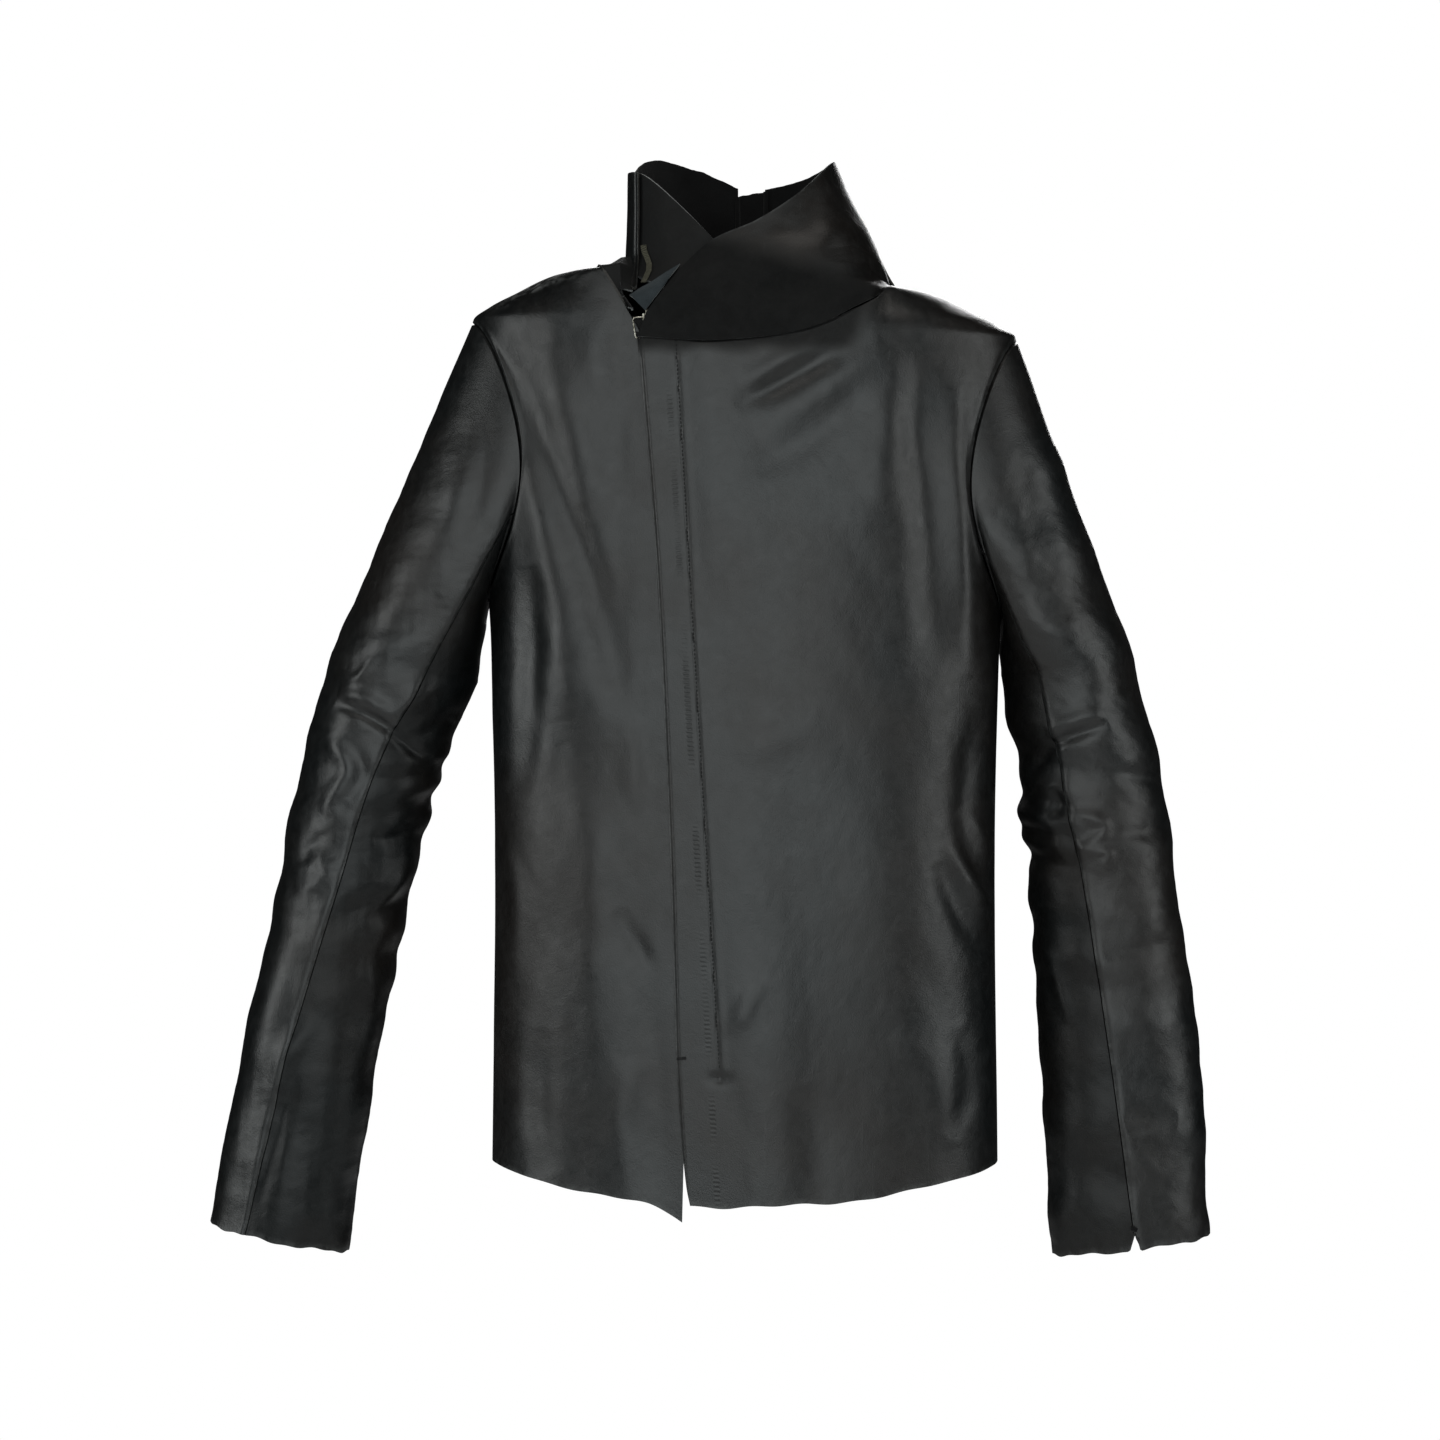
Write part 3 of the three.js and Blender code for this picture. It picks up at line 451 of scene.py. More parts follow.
def fleshLeather(name, dark, light, nap=0.0016):
    # Suede side: matt, with a nap of short fibres and rubbed, darker patches.
    material, add, shade = nodesOf(name)
    place = add("TexCoord").outputs["Object"]
    patches = noise(add, place, 38.0, 6.0, Roughness=0.65)
    fibres = noise(add, place, 1 / nap, 4.0, Roughness=0.8, Distortion=1.2)
    lit = maths(add, "MULTIPLY", ramp(add, patches, 0.3, 0.7), ramp(add, fibres, 0.3, 0.7, 0.5, 1.0))
    shade({"Base Color": blendColour(add, lit, dark, light), "Roughness": 0.93, "Specular IOR Level": 0.25,
           "Sheen Weight": 0.12, "Sheen Roughness": 0.5,
           "Normal": bumpOn(add, fibres, 0.0006, 0.6, bumpOn(add, patches, 0.0012, 0.25))})
    return material


def rawEdge(name, colour):
    # A cut edge: fibres in layers between the two faces.
    material, add, shade = nodesOf(name)
    fibres = noise(add, add("TexCoord").outputs["Object"], 900.0, 4.0, Roughness=0.8)
    darker = tuple(0.35 * c for c in colour)
    shade({"Base Color": blendColour(add, ramp(add, fibres, 0.35, 0.65), darker, colour), "Roughness": 0.8,
           "Normal": bumpOn(add, fibres, 0.0004, 0.7)})
    return material


def woven(name, dark, light, pitch=0.0009):
    # Twill tape: diagonal ribs crossed by fine noise.
    material, add, shade = nodesOf(name)
    place = add("TexCoord").outputs["Object"]
    ribs = add("TexWave", {"wave_type": "BANDS", "bands_direction": "DIAGONAL"}, Vector=place,
               Scale=0.3 / pitch, Distortion=1.5, Detail=2.0).outputs[1]
    weave = maths(add, "MULTIPLY", ribs, ramp(add, noise(add, place, 700.0, 4.0), 0.3, 0.7, 0.4, 1.0))
    shade({"Base Color": blendColour(add, weave, dark, light), "Roughness": 0.85,
           "Normal": bumpOn(add, weave, 0.0004, 0.6)})
    return material


def wornMetal(name, colour, dark):
    material, add, shade = nodesOf(name)
    place = add("TexCoord").outputs["Object"]
    wear = noise(add, place, 420.0, 6.0, Roughness=0.7)
    brushed = stretched(add, place, (2400, 2400, 260))
    shade({"Base Color": blendColour(add, ramp(add, wear, 0.42, 0.62), dark, colour), "Metallic": 1.0,
           "Roughness": ramp(add, wear, 0.3, 0.7, 0.5, 0.24),
           "Normal": bumpOn(add, maths(add, "ADD", brushed, wear), 0.0002, 0.35)})
    return material


def nylon(name, colour):
    material, add, shade = nodesOf(name)
    place = add("TexCoord").outputs["Object"]
    turns = add("TexWave", {"wave_type": "BANDS", "bands_direction": "Z"}, Vector=place,
                Scale=95.0).outputs[1]
    lit = maths(add, "MULTIPLY", turns, noise(add, place, 600.0))
    shade({"Base Color": blendColour(add, lit, tuple(0.4 * c for c in colour), colour), "Roughness": 0.45,
           "Normal": bumpOn(add, turns, 0.0008, 0.8)})
    return material


finish = {
    "grain": grainLeather("black grain leather", grainLook),
    "placket": grainLeather("black grain leather over the zip", grainLook, imprint=True),
    # A copy that reflects less: painted shade for the shadow at the neck.
    "neckGrain": grainLeather("black grain leather at the neck", {**grainLook, "shine": 0.42}),
    # A copy that reflects less: painted shade for the shadow under the arms.
    "underGrain": grainLeather("black grain leather under the arm", {**grainLook, "shine": 0.36}),
    "flesh": fleshLeather("black flesh side", (0.0022, 0.0022, 0.0024), (0.0085, 0.0085, 0.0090)),
    "slate": fleshLeather("slate flesh side", (0.016, 0.021, 0.024), (0.042, 0.052, 0.058)),
    "edge": rawEdge("raw cut edge", (0.055, 0.052, 0.048)),
    "paleEdge": rawEdge("pale cut edge", (0.30, 0.31, 0.31)),
    "khaki": woven("khaki tape", (0.030, 0.029, 0.019), (0.125, 0.120, 0.088)),
    "tape": woven("black zip tape", (0.004, 0.004, 0.004), (0.020, 0.020, 0.020)),
    "thread": woven("black thread", (0.003, 0.003, 0.003), (0.016, 0.016, 0.016), 0.0004),
    "metal": wornMetal("worn nickel", (0.62, 0.60, 0.54), (0.16, 0.15, 0.12)),
    "coil": nylon("zip coil", (0.02, 0.02, 0.02)),
}
print("finishes made")


# Sheets of leather.
def towards(side, grid):
    # Turns the grid so that the named side is its last row.
    across = np.swapaxes(grid, 0, 1) if side in ("start", "end") else grid
    return across[::-1] if side in ("start", "bottom") else across


def tuck(grid, side, reach, depth, outward, steps=4):
    # Carries an edge of the grid on by reach, sinking it by depth on the way, to lie under its neighbour.
    lines, normals = towards(side, grid), towards(side, normalsOf(grid, outward))
    ahead = lines[-1] - lines[-3]
    ahead /= np.maximum(np.linalg.norm(ahead, axis=-1, keepdims=True), 1e-9)
    share = np.linspace(0, 1, steps + 1)[1:, None, None]
    extra = lines[-1] + ahead * reach * share - normals[-1] * depth * np.clip(share * 2.5, 0, 1)
    whole = np.concatenate([lines, extra])
    whole = whole[::-1] if side in ("start", "bottom") else whole
    return np.swapaxes(whole, 0, 1) if side in ("start", "end") else whole


def meshFrom(name, points, quads, finishes, kinds=None, sharp=0.9):
    mesh = bpy.data.meshes.new(name)
    mesh.vertices.add(len(points))
    mesh.vertices.foreach_set("co", (points * 0.001).astype(np.float32).ravel())
    mesh.loops.add(quads.size)
    mesh.loops.foreach_set("vertex_index", quads.ravel().astype(np.int32))
    mesh.polygons.add(len(quads))
    mesh.polygons.foreach_set("loop_start", np.arange(0, quads.size, 4, dtype=np.int32))
    for key in finishes:
        mesh.materials.append(finish[key])
    if kinds is not None:
        mesh.polygons.foreach_set("material_index", kinds.astype(np.int32))
    mesh.polygons.foreach_set("use_smooth", np.ones(len(quads), bool))
    mesh.update(calc_edges=True)
    mesh.set_sharp_from_angle(angle=sharp)
    piece = bpy.data.objects.new(name, mesh)
    bpy.context.scene.collection.objects.link(piece)
    return piece


def stepsFrom(rows, cols):
    # How many grid steps each point lies from each of the four sides.
    up, along = np.arange(rows)[:, None] + np.zeros((1, cols)), np.arange(cols) + np.zeros((rows, 1))
    return {"bottom": up, "top": up[::-1], "start": along, "end": along[:, ::-1]}


def sheet(name, grid, outward, finishes=("grain", "flesh", "edge"), thick=cut["leather"], uv=None, **marks):
    # A closed sheet: the grid is its outer face, the inner face lies one thickness in along the normals,
    # and a strip of quads joins the two round the edge.
    rows, cols = grid.shape[:2]
    count = rows * cols
    inner = grid - normalsOf(grid, outward) * thick
    a = (np.arange(rows - 1)[:, None] * cols + np.arange(cols - 1)).ravel()
    face = np.stack([a, a + 1, a + cols + 1, a + cols], axis=1)
    rim = np.concatenate([np.arange(cols - 1), np.arange(rows - 1) * cols + cols - 1,
                          (rows - 1) * cols + np.arange(cols - 1, 0, -1), np.arange(rows - 1, 0, -1) * cols])
    after = np.roll(rim, -1)
    joined = np.stack([after, rim, count + rim, count + after], axis=1)
    quads = np.concatenate([face, count + face[:, ::-1], joined])
    if outward < 0:
        quads = quads[:, ::-1]
    kinds = np.repeat([0, 1, 2], [len(face), len(face), len(rim)])
    points = np.concatenate([grid.reshape(-1, 3), inner.reshape(-1, 3)])
    piece = meshFrom(name, points, quads, finishes, kinds)
    nearest = np.minimum.reduce(list(stepsFrom(rows, cols).values()))
    nearRim = np.clip(1 - nearest / 2, 0, 1)
    none = np.zeros(count)
    # Per-point marks: rim wear, scuffs and painted shade; the last two are none unless given.
    for key, values in {"rim": nearRim, "scuff": none, "grease": none, **marks}.items():
        layer = piece.data.attributes.new(key, "FLOAT", "POINT")
        layer.data.foreach_set("value", np.tile(values.ravel(), 2).astype(np.float32))
    flat = np.stack(seenFromFront(grid), axis=-1) * 0.001 if uv is None else uv
    layer = piece.data.uv_layers.new(name="panel")
    both = np.tile(flat.reshape(-1, 2), (2, 1))
    layer.data.foreach_set("uv", both[quads.ravel()].astype(np.float32).ravel())
    return piece


def lay(edges, surface):
    flat = patch(*edges)
    return np.stack([flat[..., 0], surface(flat[..., 0], flat[..., 1]), flat[..., 1]], axis=-1)


def seenFromFront(grid):
    return grid[..., 0], grid[..., 2]


def raised(grid, outward, relief):
    return grid + normalsOf(grid, outward) * relief[..., None]


def edgeWelt(rows, cols, sides, height=0.9, reach=3.0):
    # A soft roll along the named edges: it rises over a few grid steps and drops at the edge itself.
    total = np.zeros((rows, cols))
    for side in sides:
        t = stepsFrom(rows, cols)[side] / reach
        total = np.maximum(total, height * t * np.exp(1 - t))
    return total


# The body.
fronts = {
    "rows": 290, "cols": 168, "sag": 1.3,
    "left": [                       # folds of the wearer's left front: line, height, width
        ([(60, -48), (30, -64), (-2, -84)], 2.6, 9), ([(72, -56), (35, -76), (-8, -99)], -3.2, 8),
        ([(104, -55), (62, -82), (8, -118)], 3, 13),
        ([(132, -48), (128, -110), (137, -190), (141, -300)], -5, 15),
        ([(112, -60), (104, -120), (96, -190)], 2.4, 16),
        ([(160, -70), (156, -140), (163, -215), (168, -300)], 3.4, 9),
        ([(86, -92), (40, -128), (-10, -150)], -1.6, 12), ([(150, -420), (170, -455), (190, -484)], 3.2, 7),
        ([(142, -436), (160, -476), (182, -510)], -3, 9), ([(165, -395), (180, -420), (191, -445)], 2.2, 6),
        ([(176, -320), (166, -380), (170, -450)], -3, 10), ([(60, -330), (20, -346), (-20, -352)], 1, 12),
        ([(110, -560), (140, -590), (150, -650)], 2, 14), ([(40, -600), (52, -640), (48, -690)], -1.6, 16),
        ([(10, -520), (-4, -548), (-24, -560)], 1.5, 8), ([(150, -640), (165, -610), (160, -560)], -1.8, 9),
    ],
    "right": [
        ([(-184, -40), (-165, -92), (-142, -152), (-118, -215), (-99, -285), (-95, -345)], -4.6, 13),
        ([(-176, -78), (-160, -140), (-148, -200), (-139, -268), (-136, -330)], 3.2, 13),
        ([(-150, -50), (-128, -110), (-108, -170)], 2.4, 15),
        ([(-110, -300), (-86, -345), (-78, -400)], 2, 12),
        ([(-163, -215), (-160, -300), (-168, -390)], -3.6, 11),
        ([(-120, -380), (-112, -460), (-124, -540)], 2, 16),
        ([(-100, -20), (-112, -60), (-104, -100)], 1.8, 11),
        ([(-180, -420), (-170, -470), (-176, -530)], 2.4, 9),
        ([(-150, -560), (-156, -610), (-146, -668)], -2.2, 10),
        ([(-84, -580), (-92, -630), (-80, -690)], 1.8, 12),
        ([(-95, -470), (-78, -500), (-62, -512)], -1.6, 8),
        ([(-186, -60), (-176, -110), (-172, -160)], 2.2, 6),
    ],
}


def frontRelief(x, z, folds, seed):
    # Named folds, slow unevenness, and a hang that grows towards the hem.
    hang = 1.2 * swell(x, z * 0.2, 80, seed + 3) * ease(-350, -690, z)
    return (ridges(x, z, folds) + fronts["sag"] * swell(x, z, 120, seed)
            + 0.2 * swell(x, z, 34, seed + 1, 1.2) + 0.05 * swell(x, z, 11, seed + 2) + hang)


def hemLine(x, dips):
    # The belly of the hem, with the slow waves of a cut made by hand.
    return (-body["hemDrop"] - body["hemBelly"] * (1 - (x / body["hem"]) ** 2)
            + dips * (1.2 * np.sin(x / 17) + 0.7 * np.sin(x / 6.1 + 1)) * (1 - (x / body["hem"]) ** 2))


def fadeAt(rows, cols, sides, reach=8):
    # 0 at the named edges, rising to 1 within reach grid steps.
    total = np.ones((rows, cols))
    for side in sides:
        total = total * ease(0, reach, stepsFrom(rows, cols)[side])
    return total


roll = {"height": 11, "z": -6, "spread": 25}


def neckRoll(x, z):
    # The leather rolls forward over the neck seam and turns in below it.
    return roll["height"] * hump(z, roll["z"], roll["spread"]) * ease(-72, -36, x) * ease(106, 66, x)


def makeStitching(face, heights):
    # Short stitches, 2.2 mm in every 3, lying in the groove beside the placket.
    flat = face.reshape(-1, 3)
    points, quads = [], []
    for z in heights:
        x = zipX(z) + zipLine["stitch"]
        y = flat[np.argmin((flat[:, 0] - x) ** 2 + (flat[:, 2] - z) ** 2), 1] - 0.12
        for drop, half, out in ((1.1, 0.16, 0.0), (0.6, 0.30, -0.38), (-0.6, 0.30, -0.38), (-1.1, 0.16, 0.0)):
            points += [(x - half, y + out, z + drop), (x + half, y + out, z + drop)]
        first = len(points) - 8
        quads += [(first + a, first + a + 2, first + a + 3, first + a + 1) for a in (0, 2, 4)]
    return meshFrom("placketStitching", np.array(points), np.array(quads), ("thread",))


def sideAndHem(sleeve, rows, startX, shares, dips, armShare=0.34):
    # A panel's outer edge, with a share of its rows beside the armhole, and its hem from startX to that edge.
    armRows = int(rows * armShare)
    outer = sideEdge(sleeve, rows - armRows - 1, armRows)
    hemX = mix(startX, sleeve["side"] * body["hem"], shares)
    return outer, np.stack([hemX, hemLine(hemX, dips)], axis=-1)


def makeFronts():
    shares = bunched(fronts["cols"])

    # the wearer's left front, over the zip
    outer, bottom = sideAndHem(leftSleeve, fronts["rows"], -41, shares, 1)
    placket = [(zipX(z) - lip(z), z) for z in (-587, -480, -340, -200, -110)]
    inner = route([bottom[0], (-44, -672), *placket, neckFront[0]], heightShares(outer))
    top = onShoulder(route([*neckFront, *shoulderLine(1)[1:]], shares))
    top[-1], bottom[-1] = outer[-1], outer[0]
    grid = lay((bottom, top, inner, outer), lambda x, z: frontY(x, z, zipLine["step"]))
    x, z = seenFromFront(grid)
    across = x - zipX(z)
    fade = fadeAt(*x.shape, ("top", "end")) * ease(16, 40, across)
    relief = frontRelief(x, z, fronts["left"], 11) * fade
    inLength = ease(-600, -592, z)
    relief -= 0.8 * hump(across, zipLine["stitch"], 1.0) * inLength
    relief += 0.25 * hump(across, zipLine["stitch"] + 4, 2.5) * inLength
    overCoil = ease(17, 9, 26 - np.abs(across)) * hump(across, -2, 9)
    relief += 0.9 * swell(across * 0.4, z, 60, 5) * overCoil
    relief -= 2.2 * hump(across, zipLine["stitch"], 7) * hump(z, -594, 4)
    relief += edgeWelt(*x.shape, ("end",)) - 2.4 * hump(across, -lip(z), 1.7)
    uv = np.stack([across, z], axis=-1) * 0.001
    # Painted shade under the collar's overhang: darker, duller leather across the top of the panel.
    grease = ease(-63, -49, z + 1.5 * swell(x, z, 30, 7)) * ease(12, -8, x - 80 - 0.4 * (z + 46))
    more = lambda values: np.concatenate([values, np.repeat(values[-1:], 4, axis=0)])
    face = raised(grid, 1, relief + neckRoll(x, z))
    left = sheet("leftFront", tuck(face, "top", 6, 2.3, 1), 1, ("placket", "flesh", "edge"),
                 uv=more(uv), grease=more(grease))
    stitching = makeStitching(face, np.arange(-54, -588, -3.0))

    # the wearer's right front, under it
    outer, bottom = sideAndHem(rightSleeve, fronts["rows"], -47, shares, 1)
    bottom[:, 1] -= 13 * (1 - shares) ** 8
    beside = [(zipX(z) - zipLine["clear"], z) for z in (-587, -340, -110)]
    edge = [bottom[0], (-46, -660), *beside, (-78, -46), (-87, -28), (-body["neck"], 11)]
    inner = route(edge, heightShares(outer))
    top = onShoulder(route(shoulderLine(-1), shares))
    top[0], top[-1], bottom[-1] = inner[-1], outer[-1], outer[0]
    grid = lay((bottom, top, inner, outer), lambda x, z: frontY(x, z, 0))
    x, z = seenFromFront(grid)
    away = zipX(z) - x
    fade = fadeAt(*x.shape, ("top", "end")) * ease(16, 34, away)
    relief = frontRelief(x, z, fronts["right"], 21) * fade
    relief += edgeWelt(*x.shape, ("end", "top"))
    scuff = hump(x, -156, 24) * ease(-13, -7, z - shoulderZ(x))
    right = sheet("rightFront", raised(grid, -1, relief), -1, scuff=scuff)
    return left, right, stitching


backs = {
    "rows": 230, "cols": 104,
    "folds": [
        ([(172, -120), (130, -210), (110, -330)], -3.4, 14), ([(150, -90), (105, -170), (84, -260)], 2.6, 15),
        ([(180, -300), (130, -350), (60, -372)], 2.4, 12), ([(182, -340), (120, -400), (40, -418)], -2.6, 13),
        ([(60, -30), (40, -90), (46, -160)], 1.8, 14), ([(90, -480), (110, -570), (96, -660)], 2.6, 18),
        ([(40, -500), (34, -590), (48, -690)], -2.2, 16), ([(150, -470), (160, -560), (150, -640)], -2.4, 12),
    ],
}


def makeBack(name, sleeve, neck, seed):
    # A back panel: it meets its twin in the middle, under a lapped seam, and lies under the fronts at the
    # side and the shoulder.
    side, shares = sleeve["side"], bunched(backs["cols"], 0.3)
    outer, bottom = sideAndHem(sleeve, backs["rows"], side * 0.2, shares, 0.7)
    bottom[:, 1] += 12 * (1 - shares ** 2)
    bottom[-1] = outer[0]
    inner = route([bottom[0], (neck[0][0], -340), neck[0]], heightShares(outer))
    top = onShoulder(route([*neck, *shoulderLine(side)[1:]], shares))
    top[-1] = outer[-1]
    grid = lay((bottom, top, inner, outer), lambda x, z: bodyY(x, z, False))
    x, z = seenFromFront(grid)
    folds = [([(side * out, up) for out, up in line], *size) for line, *size in backs["folds"]]
    relief = frontRelief(x, z, folds, seed) * fadeAt(*x.shape, ("top", "end", "start"))
    relief += edgeWelt(*x.shape, ("start",) if side > 0 else ())
    outward = -side
    grid = raised(grid, outward, relief)
    if side < 0:
        grid = tuck(grid, "start", 5, 2.3, outward)
    grid = tuck(tuck(grid, "end", 5, 2.0, outward), "top", 4, 1.2, outward)
    return sheet(name, grid, outward)


# The collar.
collar = {"inset": 3.2, "foldEdge": -80.5}


def collarGrid(lower, upper, sides, surface, cols, rows):
    shares, steps = np.linspace(0, 1, cols), np.linspace(0, 1, rows)[:, None]
    low, high = route(lower, shares), route(upper, shares)
    ends = []
    for at, side in zip((0, -1), sides):
        edge = mix(low[at], high[at], steps)
        if side is not None:
            edge[:, 0] = side(edge[:, 1])
        low[at], high[at] = edge[0], edge[-1]
        ends.append(edge)
    return lay((low, high, *ends), surface)


def makeCollar():
    lift = cut["leather"] + 0.1
    seam = [(x, z + lift) for x, z in neckFront]
    rim = [(-73.5, -29), (-58, -8), (-42, 11.5), (-24, 26.5), (9, 41), (42, 64), (69, 93)]
    front = collarGrid(seam, rim, (None, ringRight), collarFrontY(0), 220, 110)
    x, z = seenFromFront(front)
    folds = [
        ([(96, 10), (60, -8), (20, -14), (-20, -10)], -3.6, 12), ([(88, 44), (50, 22), (16, 10)], 2.2, 15),
        ([(104, -8), (80, -22), (50, -32)], 2.6, 8), ([(70, 70), (62, 46), (66, 20)], 1.6, 14),
        ([(-40, 4), (-30, -14), (-34, -34)], -1.6, 9), ([(106, -2), (92, 2), (74, -4)], -1.8, 6),
    ]
    relief = (ridges(x, z, folds) + 0.9 * swell(x, z, 70, 31) + 0.3 * swell(x, z, 24, 32))
    relief *= fadeAt(110, 220, ("top", "start", "bottom"), 10) * ease(ringRight(z) - 1, ringRight(z) - 16, x)
    relief += neckRoll(x, z) * ease(0, 30, np.arange(110)[::-1, None])
    # Painted shade: the collar's lower part, where its own overhang shades it, is painted darker and duller.
    grease = ease(20, -8, z + 0.33 * x - 17 + 2 * swell(x, z, 26, 33)) * ease(14, -8, x - 80 - 0.4 * (z + 46))
    # The neck pieces take the less reflective copy of the leather: painted shade.
    grain = ("neckGrain", "flesh", "paleEdge")
    pieces = {"collar_left_front": sheet("collarFront", raised(front, 1, relief), 1, grain, grease=grease)}

    stand = collarGrid([(-83, 2), (-50, -14), (-14, -16)], [(-83, 82), (-78, 80), (-24, 27), (-12, 12)],
                       (None, None), collarFrontY(collar["inset"]), 90, 90)
    x, z = seenFromFront(stand)
    relief = (0.5 * swell(x, z, 40, 41) + ridges(x, z, [([(-70, 60), (-58, 30), (-62, 0)], 0.9, 9)]))
    relief *= fadeAt(90, 90, ("top", "start", "end"), 10)
    # Painted shade: the stand, deep in the collar's shadow, is painted darker and duller all over.
    grease = 0.75 + 0 * z
    pieces["collar_right_stand"] = sheet("collarStand", raised(stand, 1, relief), 1, grain, grease=grease)

    strip = collarGrid([(float(ringLeft(0)), -8), (collar["foldEdge"], -10)],
                       [(-89, 84), (collar["foldEdge"], 81)], (ringLeft, None), collarFrontY(0), 60, 120)
    x, z = seenFromFront(strip)
    edge = collar["foldEdge"] - x
    relief = 0.5 * hump(edge, 0.6, 0.7) - 0.9 * hump(edge, 2.4, 0.5)
    relief += 0.4 * hump(edge, 4.4, 0.8) - 0.5 * hump(edge, 6.2, 0.5) + 0.35 * swell(x, z, 40, 43)
    pieces["collar_fold_strip"] = sheet("collarFold", raised(strip, 1, relief), 1)

    flap = collarGrid([(-74.2, -28), (-58.6, -6.6)], [(-86, -16), (-49, 8.5)], (None, None),
                      collarFrontY(0), 60, 40)
    x, z = seenFromFront(flap)
    relief = 0.5 * swell(x, z, 18, 44) + 0.8 * hump(z - (x + 72) * 0.6, -12, 4)
    relief *= fadeAt(40, 60, ("bottom",), 8)
    suede = ("slate", "grain", "paleEdge")
    pieces["collar_corner_flap"] = sheet("cornerFlap", raised(flap, 1, relief), 1, suede, 1.0)

    gusset = collarGrid([(-87, -26), (-92, -11)], [(-body["neck"] + 0.8, 11.2), (-94, 20)], (None, None),
                        lambda x, z: frontY(x, z, 0), 40, 60)
    gusset = raised(gusset, 1, edgeWelt(60, 40, ("start",), 0.5))
    under = gusset[:, -1].copy()
    under[:, 0], under[:, 2] = -83.5, under[:, 2] - 1
    under[:, 1] = collarFrontY(0)(under[:, 0], under[:, 2]) + 2.6
    bend = np.linspace(0, 1, 14)[None, 1:, None]
    gusset = np.concatenate([gusset, mix(gusset[:, -1:], under[:, None], bend)], axis=1)
    # It runs on over the shoulder to the back panel's neck edge, rising 2.5 mm between.
    behind = gusset[-1].copy()
    behind[:, 0] = np.clip(behind[:, 0], 1 - body["neck"], -88)
    behind[:, 2] = np.interp(behind[:, 0], [-body["neck"], -88], [11, 21]) + 0.2
    behind[:, 1] = bodyY(behind[:, 0], behind[:, 2], False) - 0.8
    over = np.linspace(0, 1, 19)[1:, None, None]
    crown = mix(gusset[-1:], behind[None], over)
    crown[..., 2] += 10 * over[..., 0] * (1 - over[..., 0])
    gusset = tuck(np.concatenate([gusset, crown]), "start", 3, 1.9, 1)
    # Painted shade: the gusset, in the shadow at the neck, is painted darker and duller all over.
    pieces["neck_gusset"] = sheet("neckGusset", gusset, 1, grain, grease=0.8 + 0 * gusset[..., 0])

    def backPiece(lower, upper, sides, cols, rows, seed, ragged):
        # The back of the collar, with its seams lapped and a torn, wavy rim.
        grid = collarGrid(lower, upper, sides, collarBackY, cols, rows)
        x, z = seenFromFront(grid)
        share = np.linspace(0, 1, rows)[:, None]
        inner = fadeAt(rows, cols, [side for side, ring in zip(("start", "end"), sides) if ring], 14)
        torn = ragged * (swell(x, x * 0, 12, seed) + 0.4 * swell(x, x * 0, 5, seed + 1))
        grid[..., 2] += inner * share ** 3 * (3.5 + torn)
        relief = 1.1 * swell(x, z, 46, seed + 2) * fadeAt(rows, cols, ("bottom", "start", "end"), 6)
        return raised(grid, -1, relief)
    left = backPiece([(16.4, 5), (60, 2), (body["neck"], -2)], [(16.4, 80), (40, 84), (69, 93)],
                     (None, ringRight), 120, 90, 51, 0.25)
    left = tuck(left, "end", 5, 0.6, -1)
    pieces["collar_back_left"] = sheet("collarBackLeft", left, -1)
    middle = backPiece([(-4.4, 6), (16, 5.6)], [(-4.4, 75), (16, 78)], (None, None), 40, 90, 54, 0.4)
    middle = tuck(tuck(middle, "start", 3, 2.2, -1), "end", 3, 2.2, -1)
    pieces["collar_back_strip"] = sheet("collarBackStrip", middle, -1)
    right = backPiece([(-89.5, 25), (-50, 11.2), (-4.8, 6)], [(-89, 85), (-73, 99), (-40, 95), (-4.8, 81)],
                      (ringLeft, None), 120, 90, 57, 0.3)
    right = tuck(right, "start", 5, 0.6, -1)
    pieces["collar_back_right"] = sheet("collarBackRight", right, -1)
    return pieces


